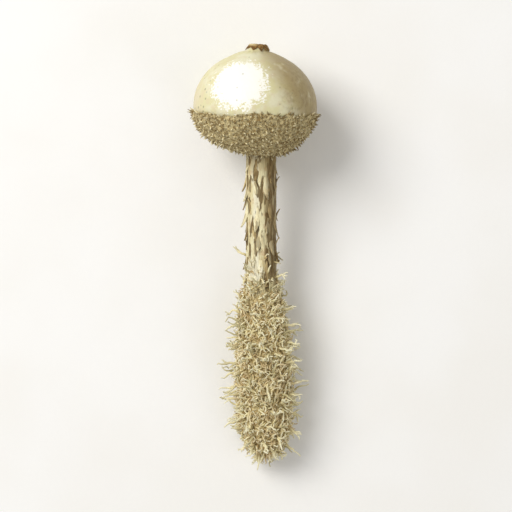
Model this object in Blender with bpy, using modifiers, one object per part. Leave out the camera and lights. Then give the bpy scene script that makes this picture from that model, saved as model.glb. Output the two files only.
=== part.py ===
"""Shaggy-stemmed stalked puffball, picked and lying on its side.

The fungus is modelled upright, with local +Z running from the foot of its stem to its crown, local -Y the
side that is seen and local +X to the right. An empty then lays it down: its crown points along +Y and a
little up, and its bristles and wool rest on the ground at z = 0.
"""

import math
import random

import bmesh
import bpy
from mathutils import Matrix, Vector

# Driving dimensions of the head, in metres. Heights in the head are measured from its equator.
HEAD_RADIUS = 0.00925
EQUATOR_HEIGHT = 0.0525
DOME_RISE = 0.0091
DOME_POWER = 2.15
BELLY_DROP = 0.0070
HEAD_TILT = math.radians(2.6)
CROWN_FLAT_RADIUS = 0.0010
PORE_RADIUS = 0.0006
PORE_DEPTH = 0.0015

# The brown outer skin that cups the lower half of the head.
SKIN_RADIUS = 0.00935
SKIN_THICKNESS = 0.0006
RIM_DROP = 0.0003
SPINE_SPACING = 0.00122
SPINE_LENGTH = 0.00075
SPINE_RADIUS = 0.00027
SPINE_SINK = 0.0003
SPINE_STEM_CLEARANCE = 0.0035

# The toothed ring round the pore.
CROWN_TEETH = 11
CROWN_STEPS_PER_TOOTH = 4
CROWN_THICKNESS = 0.00055
CROWN_INNER_RADIUS = 0.0007
CROWN_NOTCH_RADIUS = 0.0013
CROWN_TOOTH_RADIUS = 0.00175

# The stem and its scales.
STEM_RADIUS = 0.0023
STEM_OFFSET = 0.0009
STEM_TOP = 0.0490
STEM_FOOT = 0.0028
STEM_FOOT_RADIUS = 0.0017
STEM_WAY_LENGTH = 0.0080
STEM_FLUTES = 7
FLUTE_DEPTH = 0.00007
SCALE_COUNT = 60
SCALE_LOWEST = 0.0271
SCALE_HIGHEST = 0.0443
SCALE_LENGTH = 0.0026
SCALE_WIDTH = 0.0009
SCALE_THICKNESS = 0.0006
SCALE_LIFT = 0.00035
PEELING_SCALE = {
    "height": 0.0350,
    "azimuth": math.radians(183),
    "length": 0.0032,
    "width": 0.0014,
    "lift": 0.0008,
}

# The wool round the lower half of the stem.
WOOL_RADIUS = 0.00375
WOOL_RIM_RADIUS = 0.0032
WOOL_RIM_HEIGHT = 0.0251
WOOL_WAIST_HEIGHT = 0.0120
FOOT_ROUND = 0.0070
BASE_SHIFT = 0.00065
BEND_HEIGHT = 0.0293
HAIR_SPACING = 0.00158
HAIR_LENGTH = 0.0029
HAIR_RADIUS = 0.00022
HAIR_SINK = 0.0004
HAIR_CURL = 0.00042
HAIR_JOINTS = 3
HAIR_STEM_CLEARANCE = 0.0034
FORKED_SHARE = 0.3
FORK_LENGTH = 0.0012
FORK_RADIUS = 0.00012

# How the fungus lies: the axis rises towards the head, which is wider than the foot.
GAP = 0.0003
LYING_TILT = math.radians(6.8)
HEAD_RESTING_RADIUS = 0.0096
MIDDLE_HEIGHT = 0.0299

# Three low points bear it: a spine on each side under the head and a hair under the wool. The rest stay clear
# of the ground.
GROUND_AZIMUTH = math.radians(90)
RESTING_SPINE_SPREAD = math.radians(18)
RESTING_SPINE_DEPTH = 0.0012
RESTING_HAIR_HEIGHT = 0.0085
GROUND_CLEARANCE = 0.0002

HEAD_SEGMENTS = 32
STEM_SEGMENTS = 20
WOOL_SEGMENTS = 20
SEED = 12
MERGE_DISTANCE = 0.00001
SMOOTH_ANGLE = math.radians(50)

SAC_CREAM = (0.80, 0.76, 0.52, 1.0)
CROWN_BROWN = (0.26, 0.16, 0.06, 1.0)
SKIN_BROWN = (0.36, 0.26, 0.12, 1.0)
STEM_CREAM = (0.70, 0.62, 0.38, 1.0)
WOOL_TAN = (0.56, 0.45, 0.22, 1.0)


def smoothstep(value):
    """Eases a share from 0 to 1."""
    share = min(max(value, 0.0), 1.0)
    return share * share * (3 - 2 * share)


def lying_matrix():
    """Lays the upright fungus down so that the widest part of the head rests on the ground."""
    lift = HEAD_RESTING_RADIUS * math.cos(LYING_TILT) - EQUATOR_HEIGHT * math.sin(LYING_TILT)
    back = -MIDDLE_HEIGHT * math.cos(LYING_TILT)
    turn = Matrix.Rotation(LYING_TILT - math.pi / 2, 4, "X")
    return Matrix.Translation((0, back, lift)) @ turn


def head_matrix():
    """Places the head, modelled about its own equator, in the upright fungus."""
    return Matrix.Translation((0, 0, EQUATOR_HEIGHT)) @ Matrix.Rotation(HEAD_TILT, 4, "Y")


def stem_axis(height):
    """How far to the right of the head's axis the stem's centre is, at a height above the foot."""
    return STEM_OFFSET + BASE_SHIFT * smoothstep((BEND_HEIGHT - height) / BEND_HEIGHT)


def kept_above_ground(point, clearance, placement):
    """The point, or the one straight above it that stands clear of the ground."""
    to_ground = lying_matrix() @ placement
    seen = to_ground @ point
    seen.z = max(seen.z, clearance)
    return to_ground.inverted() @ seen


def on_ground_below(point, placement):
    """The point on the ground straight below a point."""
    to_ground = lying_matrix() @ placement
    seen = to_ground @ point
    seen.z = 0.0
    return to_ground.inverted() @ seen


def dome_height(radius):
    """Height of the smooth dome above the equator."""
    return DOME_RISE * (1 - (radius / HEAD_RADIUS) ** 2) ** (1 / DOME_POWER)


def arc_below_equator(radius, drop, count, start=0.0):
    """(radius, height) points down a quarter ellipse, from below the equator to the axis."""
    first = math.asin(start / drop)
    angles = [first + (math.pi / 2 - first) * i / count for i in range(count)]
    return [(radius * math.cos(a), -drop * math.sin(a)) for a in angles] + [(0.0, -drop)]


def wool_radius(height):
    """Radius of the wool's felt at a height above the foot."""
    if height < FOOT_ROUND:
        return WOOL_RADIUS * math.sqrt(max(0.0, 1 - ((FOOT_ROUND - height) / FOOT_ROUND) ** 2))
    waist = smoothstep((height - WOOL_WAIST_HEIGHT) / (WOOL_RIM_HEIGHT - WOOL_WAIST_HEIGHT))
    return WOOL_RADIUS + (WOOL_RIM_RADIUS - WOOL_RADIUS) * waist


def stem_radius(height):
    """Radius of the bare stem, which narrows inside the wool."""
    share = smoothstep((height - STEM_FOOT) / (WOOL_RIM_HEIGHT - STEM_FOOT))
    return STEM_FOOT_RADIUS + (STEM_RADIUS - STEM_FOOT_RADIUS) * share


def new_collection(name):
    """A collection linked into the scene."""
    collection = bpy.data.collections.new(name)
    bpy.context.scene.collection.children.link(collection)
    return collection


def new_material(name, color, roughness):
    """A plain Principled BSDF material."""
    material = bpy.data.materials.new(name)
    material.use_nodes = True
    shader = material.node_tree.nodes["Principled BSDF"]
    shader.inputs["Base Color"].default_value = color
    shader.inputs["Roughness"].default_value = roughness
    shader.inputs["Metallic"].default_value = 0.0
    return material


def new_empty(name, parent, matrix, collection):
    """An empty that places what is parented to it."""
    empty = bpy.data.objects.new(name, None)
    empty.parent = parent
    empty.matrix_local = matrix
    collection.objects.link(empty)
    return empty


def turned(name, profile, segments, collection):
    """A solid turned about Z from (radius, height) points that run down its outer side.

    The profile closes on itself, apart from where it follows the axis.
    """
    mesh = bpy.data.meshes.new(name)
    pairs = [(i, (i + 1) % len(profile)) for i in range(len(profile))]
    edges = [(a, b) for a, b in pairs if profile[a][0] > 0 or profile[b][0] > 0]
    mesh.from_pydata([(radius, 0.0, height) for radius, height in profile], edges, [])
    obj = bpy.data.objects.new(name, mesh)
    collection.objects.link(obj)
    screw = obj.modifiers.new("Turn", "SCREW")
    screw.steps = segments
    screw.render_steps = segments
    screw.use_merge_vertices = True
    screw.merge_threshold = MERGE_DISTANCE
    return obj


def apply_modifiers(obj):
    """Replaces the object's mesh with the one that its modifiers make."""
    graph = bpy.context.evaluated_depsgraph_get()
    mesh = bpy.data.meshes.new_from_object(obj.evaluated_get(graph))
    obj.modifiers.clear()
    obj.data = mesh


def move_vertices(obj, rule):
    """Moves each vertex of the object's mesh to where the rule puts it."""
    for vertex in obj.data.vertices:
        vertex.co = rule(vertex.co)


def join_collection(obj, collection):
    """Joins a collection's pieces to the object in one union, then removes them."""
    union = obj.modifiers.new("Join", "BOOLEAN")
    union.operation = "UNION"
    union.operand_type = "COLLECTION"
    union.collection = collection
    union.solver = "MANIFOLD"
    apply_modifiers(obj)
    for piece in list(collection.objects):
        bpy.data.objects.remove(piece)
    bpy.data.collections.remove(collection)


def cut(obj, cutter):
    """Cuts the cutter's shape out of the object."""
    difference = obj.modifiers.new("Cut", "BOOLEAN")
    difference.operation = "DIFFERENCE"
    difference.object = cutter


def finish(obj, parent, material):
    """Parents, shades and colours a finished part."""
    obj.parent = parent
    obj.data.materials.clear()
    obj.data.materials.append(material)
    obj.data.shade_smooth()
    obj.data.set_sharp_from_angle(angle=SMOOTH_ANGLE)


def cone_template(joints):
    """A three-sided cone of unit height and radius, cut across at evenly spaced joints."""
    bm = bmesh.new()
    bmesh.ops.create_cone(bm, cap_ends=True, segments=3, radius1=1.0, radius2=0.0, depth=1.0)
    bmesh.ops.translate(bm, verts=bm.verts, vec=(0, 0, 0.5))
    bmesh.ops.remove_doubles(bm, verts=bm.verts, dist=0.001)
    for joint in range(1, joints):
        geometry = bm.verts[:] + bm.edges[:] + bm.faces[:]
        bmesh.ops.bisect_plane(bm, geom=geometry, plane_co=(0, 0, joint / joints), plane_no=(0, 0, 1))
    mesh = bpy.data.meshes.new("cone_template")
    bm.to_mesh(mesh)
    bm.free()
    return mesh


def add_along_path(template, path, radius, fullness, collection):
    """Bends a copy of the cone so that its height follows the path's points.

    A fullness of 1 keeps it thick for longer than a straight cone, which a fullness of 0 leaves it.
    """
    mesh = template.copy()
    steps = len(path) - 1
    directions = [(path[min(i + 1, steps)] - path[max(i - 1, 0)]).normalized() for i in range(steps + 1)]
    turns = [Vector((0, 0, 1)).rotation_difference(directions[0])]
    for before, after in zip(directions, directions[1:]):
        turns.append(before.rotation_difference(after) @ turns[-1])
    for vertex in mesh.vertices:
        joint = round(vertex.co.z * steps)
        swell = radius * (1 + fullness * vertex.co.z)
        across = Vector((vertex.co.x * swell, vertex.co.y * swell, 0))
        vertex.co = path[joint] + turns[joint] @ across
    collection.objects.link(bpy.data.objects.new("repeat", mesh))


def rows_down(outline, spacing):
    """(radius, height, outward normal in the radial plane) of evenly spaced rows along an outline."""
    travelled = spacing / 2
    rows = []
    for (r0, h0), (r1, h1) in zip(outline, outline[1:]):
        length = math.hypot(r1 - r0, h1 - h0)
        while travelled < length:
            share = travelled / length
            normal = ((h0 - h1) / length, (r1 - r0) / length)
            rows.append((r0 + (r1 - r0) * share, h0 + (h1 - h0) * share, normal))
            travelled += spacing
        travelled -= length
    return rows


def roots_on(outline, spacing, draw):
    """(root point, outward normal) of evenly spread, slightly shifted roots on a turned surface."""
    for radius, height, (normal_out, normal_up) in rows_down(outline, spacing):
        count = max(1, round(2 * math.pi * radius / spacing))
        phase = draw.uniform(0, 2 * math.pi)
        for i in range(count):
            azimuth = phase + 2 * math.pi * (i + draw.uniform(-0.22, 0.22)) / count
            out = Vector((math.cos(azimuth), math.sin(azimuth), 0))
            root = out * radius + Vector((0, 0, height + draw.uniform(-0.22, 0.22) * spacing))
            yield root, (out * normal_out + Vector((0, 0, normal_up))).normalized()


def make_cutter(name, radius, low, high, collection):
    """A hidden cylinder along the stem's axis, in the upright fungus."""
    bpy.ops.mesh.primitive_cylinder_add(vertices=STEM_SEGMENTS, radius=radius, depth=high - low)
    cutter = bpy.context.object
    cutter.name = name
    cutter.data.transform(Matrix.Translation((STEM_OFFSET, 0, (low + high) / 2)))
    for holder in list(cutter.users_collection):
        holder.objects.unlink(cutter)
    collection.objects.link(cutter)
    cutter.hide_render = True
    cutter.display_type = "WIRE"
    return cutter


def make_spore_sac(collection, cutter):
    """The smooth closed head, with the pore, a ledge under the skin's rim and the stem's socket."""
    top = dome_height(CROWN_FLAT_RADIUS)
    angles = [math.radians(a) for a in (10, 18, 27, 36, 45, 54, 63, 72, 79, 85, 90)]
    dome = [(HEAD_RADIUS * math.sin(a), dome_height(HEAD_RADIUS * math.sin(a))) for a in angles]
    covered = SKIN_THICKNESS + GAP
    lower = arc_below_equator(SKIN_RADIUS - covered, BELLY_DROP - covered, 6, RIM_DROP)
    pore = [(0.0, top - PORE_DEPTH), (PORE_RADIUS, top - PORE_DEPTH)]
    pore += [(PORE_RADIUS, top), (CROWN_FLAT_RADIUS, top)]
    profile = pore + dome + [(HEAD_RADIUS, -RIM_DROP)] + lower
    sac = turned("spore_sac", profile, HEAD_SEGMENTS, collection)
    cut(sac, cutter)
    return sac


def make_outer_skin(collection, cutter):
    """The brown cup under the head, covered in short spines, with a hole for the stem."""
    draw = random.Random(SEED)
    rim = RIM_DROP + GAP
    outer = arc_below_equator(SKIN_RADIUS, BELLY_DROP, 8, rim)
    inner = arc_below_equator(SKIN_RADIUS - SKIN_THICKNESS, BELLY_DROP - SKIN_THICKNESS, 5, rim)
    skin = turned("outer_skin", outer + inner[::-1], HEAD_SEGMENTS, collection)
    apply_modifiers(skin)
    spines = new_collection("spines")
    template = cone_template(1)
    fine_outline = arc_below_equator(SKIN_RADIUS, BELLY_DROP, 60, rim)
    placement = head_matrix()
    for root, normal in roots_on(fine_outline, SPINE_SPACING, draw):
        root.z = min(root.z, -rim - SPINE_RADIUS)
        from_stem = math.hypot((placement @ root).x - STEM_OFFSET, root.y)
        if from_stem < SPINE_STEM_CLEARANCE:
            continue
        near_rim = smoothstep(1 + root.z / (2 * SPINE_SPACING))
        sideways = Vector([draw.uniform(-0.3, 0.3) for _ in range(3)])
        direction = (normal + sideways + Vector((0, 0, 0.8 * near_rim))).normalized()
        length = SPINE_LENGTH * draw.uniform(0.75, 1.2)
        base = kept_above_ground(root - normal * SPINE_SINK, SPINE_RADIUS + GROUND_CLEARANCE, placement)
        tip = kept_above_ground(root + direction * length, GROUND_CLEARANCE, placement)
        add_along_path(template, [base, tip], SPINE_RADIUS, 0.0, spines)
    for side in (-1, 1):
        azimuth = GROUND_AZIMUTH + side * RESTING_SPINE_SPREAD
        out = Vector((math.cos(azimuth), math.sin(azimuth), 0))
        root = out * (SKIN_RADIUS - SPINE_SINK) - Vector((0, 0, RESTING_SPINE_DEPTH))
        add_along_path(template, [root, on_ground_below(root, placement)], SPINE_RADIUS, 0.0, spines)
    join_collection(skin, spines)
    cut(skin, cutter)
    return skin


def make_mouth_crown(collection):
    """The toothed ring that lies over the crown, round the pore."""
    low = dome_height(CROWN_FLAT_RADIUS) + GAP
    high = low + CROWN_THICKNESS
    section = [
        (CROWN_INNER_RADIUS, high),
        (CROWN_NOTCH_RADIUS, high - 0.0001),
        (CROWN_TOOTH_RADIUS, high - 0.0003),
        (CROWN_TOOTH_RADIUS, low - 0.0001),
        (CROWN_NOTCH_RADIUS, low),
        (CROWN_INNER_RADIUS, low),
    ]
    crown = turned("mouth_crown", section, CROWN_TEETH * CROWN_STEPS_PER_TOOTH, collection)
    apply_modifiers(crown)

    def toothed(point):
        """Draws the ring's outer edge out into teeth that droop over the dome."""
        radius = math.hypot(point.x, point.y)
        turn = math.atan2(point.y, point.x) * CROWN_TEETH / (2 * math.pi)
        tooth = 1 - abs(2 * (turn % 1.0) - 1)
        if radius < CROWN_TOOTH_RADIUS - MERGE_DISTANCE:
            return point
        reach = CROWN_NOTCH_RADIUS + 0.0001 + (CROWN_TOOTH_RADIUS - CROWN_NOTCH_RADIUS) * tooth
        droop = dome_height(CROWN_FLAT_RADIUS) - dome_height(reach)
        return Vector((point.x * reach / radius, point.y * reach / radius, point.z - droop * tooth))

    move_vertices(crown, toothed)
    return crown


def stem_surface(azimuth, height):
    """A point on the bare, fluted stem."""
    fluted = 0.0 if height > SCALE_HIGHEST or height < WOOL_RIM_HEIGHT else FLUTE_DEPTH
    radius = stem_radius(height) + fluted * math.sin(STEM_FLUTES * azimuth + 60 * height / STEM_TOP)
    return Vector((radius * math.cos(azimuth), radius * math.sin(azimuth), height))


def scale_template():
    """A unit scale whose tip is at z = 1, cut across once so that it can bend."""
    bm = bmesh.new()
    bmesh.ops.create_cube(bm, size=1.0, matrix=Matrix.Translation((0, 0, 0.5)))
    geometry = bm.verts[:] + bm.edges[:] + bm.faces[:]
    bmesh.ops.bisect_plane(bm, geom=geometry, plane_co=(0, 0, 0.5), plane_no=(0, 0, 1))
    mesh = bpy.data.meshes.new("scale_template")
    bm.to_mesh(mesh)
    bm.free()
    return mesh


def add_scale(template, height, azimuth, length, width, lift, upward, collection):
    """One scale on the stem, sunk at its root and lifted at its tip.

    Its outer face rises from the stem's surface, and its tip points up or down the stem.
    """
    mesh = template.copy()
    out = Vector((math.cos(azimuth), math.sin(azimuth), 0))
    across = Vector((-math.sin(azimuth), math.cos(azimuth), 0))
    side = 1 if upward else -1
    for vertex in mesh.vertices:
        along = vertex.co.z
        spread = width * (0.55 + 1.6 * along * (1 - along)) * (1 - 0.55 * along**3)
        rise = lift * along**1.5 + (0.00012 if vertex.co.y > 0 else -SCALE_THICKNESS * (1 - 0.45 * along))
        centre = stem_surface(azimuth, height + side * length * (along - 0.4))
        vertex.co = centre + out * rise + across * vertex.co.x * spread
    if upward:
        mesh.flip_normals()
    collection.objects.link(bpy.data.objects.new("repeat", mesh))


def make_stem(collection):
    """The scaly column, from the head's socket to its foot inside the wool."""
    draw = random.Random(SEED + 1)
    heights = [STEM_TOP - 0.0005, SCALE_HIGHEST + 0.0004]
    heights += [SCALE_HIGHEST - 0.0024 * i for i in range(8)]
    heights += [WOOL_RIM_HEIGHT, 0.0190, 0.0115, STEM_FOOT + 0.0006]
    side = [(stem_radius(height), height) for height in heights]
    profile = [(0.0, STEM_TOP), (STEM_RADIUS - 0.0004, STEM_TOP)] + side
    profile += [(STEM_FOOT_RADIUS - 0.0004, STEM_FOOT), (0.0, STEM_FOOT)]
    stem = turned("stem", profile, STEM_SEGMENTS, collection)
    apply_modifiers(stem)

    def fluted(point):
        """Gives the bare side its flutes and leaves the ends as they are."""
        if math.hypot(point.x, point.y) < STEM_FOOT_RADIUS - 0.0002 or point.z > SCALE_HIGHEST:
            return point
        return stem_surface(math.atan2(point.y, point.x), point.z)

    move_vertices(stem, fluted)
    scales = new_collection("scales")
    template = scale_template()
    golden = math.pi * (3 - math.sqrt(5))
    for i in range(SCALE_COUNT):
        height = SCALE_LOWEST + (SCALE_HIGHEST - SCALE_LOWEST - SCALE_LENGTH / 2) * (i + 0.5) / SCALE_COUNT
        azimuth = i * golden + draw.uniform(-0.2, 0.2)
        upward = math.cos(azimuth) > draw.uniform(-0.6, 0.4)
        length = SCALE_LENGTH * draw.uniform(0.8, 1.25)
        width = SCALE_WIDTH * draw.uniform(0.8, 1.25)
        lift = SCALE_LIFT * draw.uniform(0.5, 1.2)
        add_scale(template, height, azimuth, length, width, lift, upward, scales)
    add_scale(template, **PEELING_SCALE, upward=False, collection=scales)
    join_collection(stem, scales)
    move_vertices(stem, lambda point: point + Vector((stem_axis(point.z), 0, 0)))
    return stem


def hair_point(point, along):
    """Where a hair's point goes: clear of the bare stem, round the stem's bent axis and above the ground."""
    away = math.hypot(point.x, point.y)
    if point.z > WOOL_RIM_HEIGHT - 0.001 and away < HAIR_STEM_CLEARANCE and along > 0:
        out = HAIR_STEM_CLEARANCE / away
        point = Vector((point.x * out, point.y * out, point.z))
    point = point + Vector((stem_axis(point.z), 0, 0))
    return kept_above_ground(point, GROUND_CLEARANCE + HAIR_RADIUS * (1 - along**2), Matrix.Identity(4))


def hair_paths(root, normal, draw):
    """Points along one crooked hair, from under the felt to its tip, and along its fork, if it has one."""
    wander = Vector((draw.uniform(-1, 1), draw.uniform(-1, 1), draw.uniform(-1, 1)))
    near_rim = smoothstep((root.z - WOOL_RIM_HEIGHT + 0.004) / 0.004)
    direction = (normal + wander * 0.55 + Vector((0, 0, 0.9 * near_rim))).normalized()
    curl = direction.cross(wander).normalized()
    length = HAIR_LENGTH * draw.uniform(0.8, 1.12)
    phase = draw.uniform(0, 2 * math.pi)
    start = root - normal * HAIR_SINK
    spine = []
    for joint in range(HAIR_JOINTS + 1):
        along = joint / HAIR_JOINTS
        swing = math.sin(4.4 * along + phase) - math.sin(phase)
        spine.append(start + direction * (length + HAIR_SINK) * along + curl * HAIR_CURL * swing)
    paths = [[hair_point(point, joint / HAIR_JOINTS) for joint, point in enumerate(spine)]]
    if draw.random() < FORKED_SHARE:
        side = (direction + curl * draw.choice((-1.0, 1.0)) * 1.1).normalized()
        paths.append([hair_point(spine[2], 0.67), hair_point(spine[2] + side * FORK_LENGTH, 1.0)])
    return paths


def make_base_wool(collection):
    """The closed sheath of felt round the stem, with its crooked hairs."""
    draw = random.Random(SEED + 2)
    steps = 12
    outer_heights = [WOOL_RIM_HEIGHT * (1 - i / steps) ** 1.25 for i in range(steps)]
    outer = [(wool_radius(height), height) for height in outer_heights] + [(0.0, 0.0)]
    hole_heights = [STEM_FOOT - GAP, STEM_FOOT + 0.0006, 0.0115, 0.0190, WOOL_RIM_HEIGHT]
    hole = [(0.0, STEM_FOOT - GAP)] + [(stem_radius(height) + GAP, height) for height in hole_heights]
    wool = turned("base_wool", outer + hole, WOOL_SEGMENTS, collection)
    apply_modifiers(wool)
    move_vertices(wool, lambda point: point + Vector((stem_axis(point.z), 0, 0)))
    hairs = new_collection("hairs")
    templates = [cone_template(HAIR_JOINTS), cone_template(1)]
    fine_heights = [WOOL_RIM_HEIGHT * (1 - i / 80) for i in range(81)]
    fine_outline = [(wool_radius(height), height) for height in fine_heights]
    for root, normal in roots_on(fine_outline, HAIR_SPACING, draw):
        root.z = min(root.z, WOOL_RIM_HEIGHT - HAIR_RADIUS)
        paths = hair_paths(root, normal, draw)
        for template, path, radius in zip(templates, paths, (HAIR_RADIUS, FORK_RADIUS)):
            add_along_path(template, path, radius, 1.0, hairs)
    root = Vector((stem_axis(RESTING_HAIR_HEIGHT), WOOL_RADIUS - HAIR_SINK, RESTING_HAIR_HEIGHT))
    add_along_path(templates[1], [root, on_ground_below(root, Matrix.Identity(4))], HAIR_RADIUS, 0.0, hairs)
    join_collection(wool, hairs)
    return wool


def main():
    """Builds the fungus upright and lays it down."""
    for obj in list(bpy.data.objects):
        bpy.data.objects.remove(obj)
    parts = new_collection("stalked_puffball")
    cutters = new_collection("cutters")
    lying = new_empty("lying_fungus", None, lying_matrix(), parts)
    head = new_empty("head", lying, head_matrix(), parts)

    way_top = STEM_TOP + GAP
    stem_way = make_cutter("stem_way", STEM_RADIUS + GAP, way_top - STEM_WAY_LENGTH, way_top, cutters)
    stem_way.data.transform(head_matrix().inverted())
    stem_way.parent = head

    finish(make_spore_sac(parts, stem_way), head, new_material("sac_cream", SAC_CREAM, 0.55))
    finish(make_outer_skin(parts, stem_way), head, new_material("skin_brown", SKIN_BROWN, 0.85))
    finish(make_mouth_crown(parts), head, new_material("crown_brown", CROWN_BROWN, 0.8))
    finish(make_stem(parts), lying, new_material("stem_cream", STEM_CREAM, 0.75))
    finish(make_base_wool(parts), lying, new_material("wool_tan", WOOL_TAN, 0.9))


main()
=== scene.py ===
"""Looks of a shaggy-stemmed stalked puffball that lies on its side.

The fungus is shaped upright, with +Z from the foot of its stem to its crown and -Y as the side that is
seen, and each mesh is laid down once it has its form. Sizes are in metres unless a name says otherwise.
"""

import logging
import math
import random
from collections.abc import Callable
from dataclasses import asdict, dataclass, fields
from enum import Enum
from functools import cache

import bmesh
import bpy
from mathutils import Matrix, Vector, noise


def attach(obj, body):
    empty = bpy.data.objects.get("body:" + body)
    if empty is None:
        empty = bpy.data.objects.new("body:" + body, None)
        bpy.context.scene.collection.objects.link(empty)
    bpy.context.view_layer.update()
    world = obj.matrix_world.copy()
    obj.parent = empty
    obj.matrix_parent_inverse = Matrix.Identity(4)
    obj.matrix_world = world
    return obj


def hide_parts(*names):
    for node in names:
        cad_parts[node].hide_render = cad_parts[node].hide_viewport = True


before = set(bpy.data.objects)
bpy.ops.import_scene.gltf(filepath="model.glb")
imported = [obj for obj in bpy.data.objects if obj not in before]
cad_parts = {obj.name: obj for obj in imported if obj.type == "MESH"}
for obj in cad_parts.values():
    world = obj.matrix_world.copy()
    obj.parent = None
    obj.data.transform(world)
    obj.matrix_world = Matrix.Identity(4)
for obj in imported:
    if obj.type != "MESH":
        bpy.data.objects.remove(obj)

LOG = logging.getLogger("stalked_puffball")

Socket = bpy.types.NodeSocket
Feed = Socket | float | int | bool | str | tuple | bpy.types.Material
Colour = tuple[float, float, float, float]
Point = tuple[float, float, float]
Rows = list[tuple[float, float]]
Shape = Callable[[float, float, float], Vector]
Layer = tuple[Feed, Feed, float]

MM_PER_METRE = 1000

# Stands for 0 where a row of 0 would be taken for a pole.
NEARLY_NONE = 1e-6


class Part(Enum):
    """The fungus's parts: the name of each one's solid, and of its material slot."""

    SAC = ("spore_sac", "sac_cream")
    CROWN = ("mouth_crown", "crown_brown")
    SKIN = ("outer_skin", "skin_brown")
    STEM = ("stem", "stem_cream")
    WOOL = ("base_wool", "wool_tan")


def smoothstep(value: float) -> float:
    """Eases a share from 0 to 1."""
    share = min(max(value, 0.0), 1.0)
    return share * share * (3 - 2 * share)


def shade(red: int, green: int, blue: int) -> Colour:
    """Turns a colour as seen on a screen, 11 to 255, into a linear one."""
    linear = [((c / 255 + 0.055) / 1.055) ** 2.4 for c in (red, green, blue)]
    return (linear[0], linear[1], linear[2], 1.0)


STEM_BROWN = shade(98, 74, 36)
STEM_WHITE = shade(254, 250, 224)


@dataclass(frozen=True)
class Posture:
    """How the fungus lies: the tilt and offsets that its solids have."""

    tilt: float = math.radians(6.8)
    resting_radius: float = 0.0096
    equator_height: float = 0.0525
    middle_height: float = 0.0299
    head_tilt: float = math.radians(2.6)
    stem_offset: float = 0.0009
    base_shift: float = 0.00065
    bend_height: float = 0.0293

    def lying(self) -> Matrix:
        """Turns the upright fungus into the lying one.

        Returns:
            The matrix for everything but the head.
        """
        lift = self.resting_radius * math.cos(self.tilt) - self.equator_height * math.sin(self.tilt)
        back = -self.middle_height * math.cos(self.tilt)
        return Matrix.Translation((0, back, lift)) @ Matrix.Rotation(self.tilt - math.pi / 2, 4, "X")

    def head(self) -> Matrix:
        """Places the head, shaped about its equator, in the lying fungus."""
        leaning = Matrix.Rotation(self.head_tilt, 4, "Y")
        return self.lying() @ Matrix.Translation((0, 0, self.equator_height)) @ leaning

    def stem_shift(self, height: float) -> float:
        """How far right of the head's axis the stem's centre is at a height above the foot."""
        bent = smoothstep((self.bend_height - height) / self.bend_height)
        return self.stem_offset + self.base_shift * bent

    def socket_shift(self, drop: float) -> float:
        """How far right of the leaning head's own axis the stem is, at a drop below the equator."""
        return self.stem_offset + drop * math.tan(self.head_tilt)

    def crownwards(self) -> Point:
        """The direction along the lying stem towards the crown."""
        return (0.0, math.cos(self.tilt), math.sin(self.tilt))


POSTURE = Posture()


@dataclass
class Turned:
    """A closed surface that is turned about the upright axis, row by row.

    The rows are (radius, height) pairs that run down the outer side. A first or last row of radius 0 is a
    pole.
    """

    name: str
    rows: Rows
    segments: int
    looped: bool = False

    def mesh(self, shape: Shape) -> bpy.types.Mesh:
        """Builds the surface.

        Args:
            shape: Gives the point for a row's radius, an azimuth and the row's height.

        Returns:
            The upright mesh, with its faces pointing outwards.
        """
        points: list[Vector] = []
        rings: list[list[int]] = []
        for radius, height in self.rows:
            count = 1 if radius <= 0 else self.segments
            rings.append(list(range(len(points), len(points) + count)))
            points += [shape(radius, 2 * math.pi * i / self.segments, height) for i in range(count)]
        pairs = list(zip(rings, rings[1:]))
        if self.looped:
            pairs.append((rings[-1], rings[0]))
        faces = []
        for upper, lower in pairs:
            for i in range(self.segments):
                corners = [upper[i % len(upper)], lower[i % len(lower)]]
                corners += [lower[(i + 1) % len(lower)], upper[(i + 1) % len(upper)]]
                faces.append(tuple(dict.fromkeys(corners)))
        mesh = bpy.data.meshes.new(self.name)
        mesh.from_pydata(points, [], [face for face in faces if len(face) > 2])
        mesh.shade_smooth()
        return mesh


def around_axis(radius: float, azimuth: float, height: float) -> Vector:
    """A point on a plain turned surface."""
    return Vector((radius * math.cos(azimuth), radius * math.sin(azimuth), height))


@dataclass(frozen=True)
class Ripple:
    """Smooth noise that rises and falls by up to its amount.

    The pitch is how many ripples there are to a millimetre, roughly. A squeeze below 1 draws them out along
    the stem, and the offset moves the pattern.
    """

    amount: float
    pitch: float
    squeeze: float = 1.0
    offset: Point = (0, 0, 0)

    def at(self, mm: Vector) -> float:
        """The noise at a place in millimetres."""
        place = Vector((mm.x, mm.y, mm.z * self.squeeze)) * self.pitch + Vector(self.offset)
        return self.amount * noise.noise(place)


def rippled(mm: Vector, ripples: tuple[Ripple, ...]) -> float:
    """Adds up ripples at a place in millimetres."""
    return sum(ripple.at(mm) for ripple in ripples)


def emboss(mesh: bpy.types.Mesh, relief: Callable[[Vector], float]) -> None:
    """Moves each vertex along its normal.

    Args:
        mesh: The mesh.
        relief: How far a vertex moves, from its place, both in millimetres.
    """
    normals = [Vector(vertex.normal) for vertex in mesh.vertices]
    for vertex, normal in zip(mesh.vertices, normals):
        vertex.co = vertex.co + normal * (relief(vertex.co * MM_PER_METRE) / MM_PER_METRE)


def mark(mesh: bpy.types.Mesh, name: str, rule: Callable[[Vector], float]) -> None:
    """Stores a number on each vertex.

    Args:
        mesh: The mesh.
        name: The number's name.
        rule: The number, from the vertex's place.
    """
    attribute = mesh.attributes.new(name, "FLOAT", "POINT")
    for vertex, entry in zip(mesh.vertices, attribute.data):
        entry.value = rule(vertex.co)


def piece_of(mesh: bpy.types.Mesh, name: str, material: bpy.types.Material) -> bpy.types.Object:
    """Makes a piece of a mesh that is already in its place.

    Args:
        mesh: The mesh.
        name: The piece's name.
        material: Its finish.

    Returns:
        The piece, at the origin.
    """
    piece = bpy.data.objects.new(name, mesh)
    bpy.context.scene.collection.objects.link(piece)
    mesh.materials.append(material)
    return piece


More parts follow.
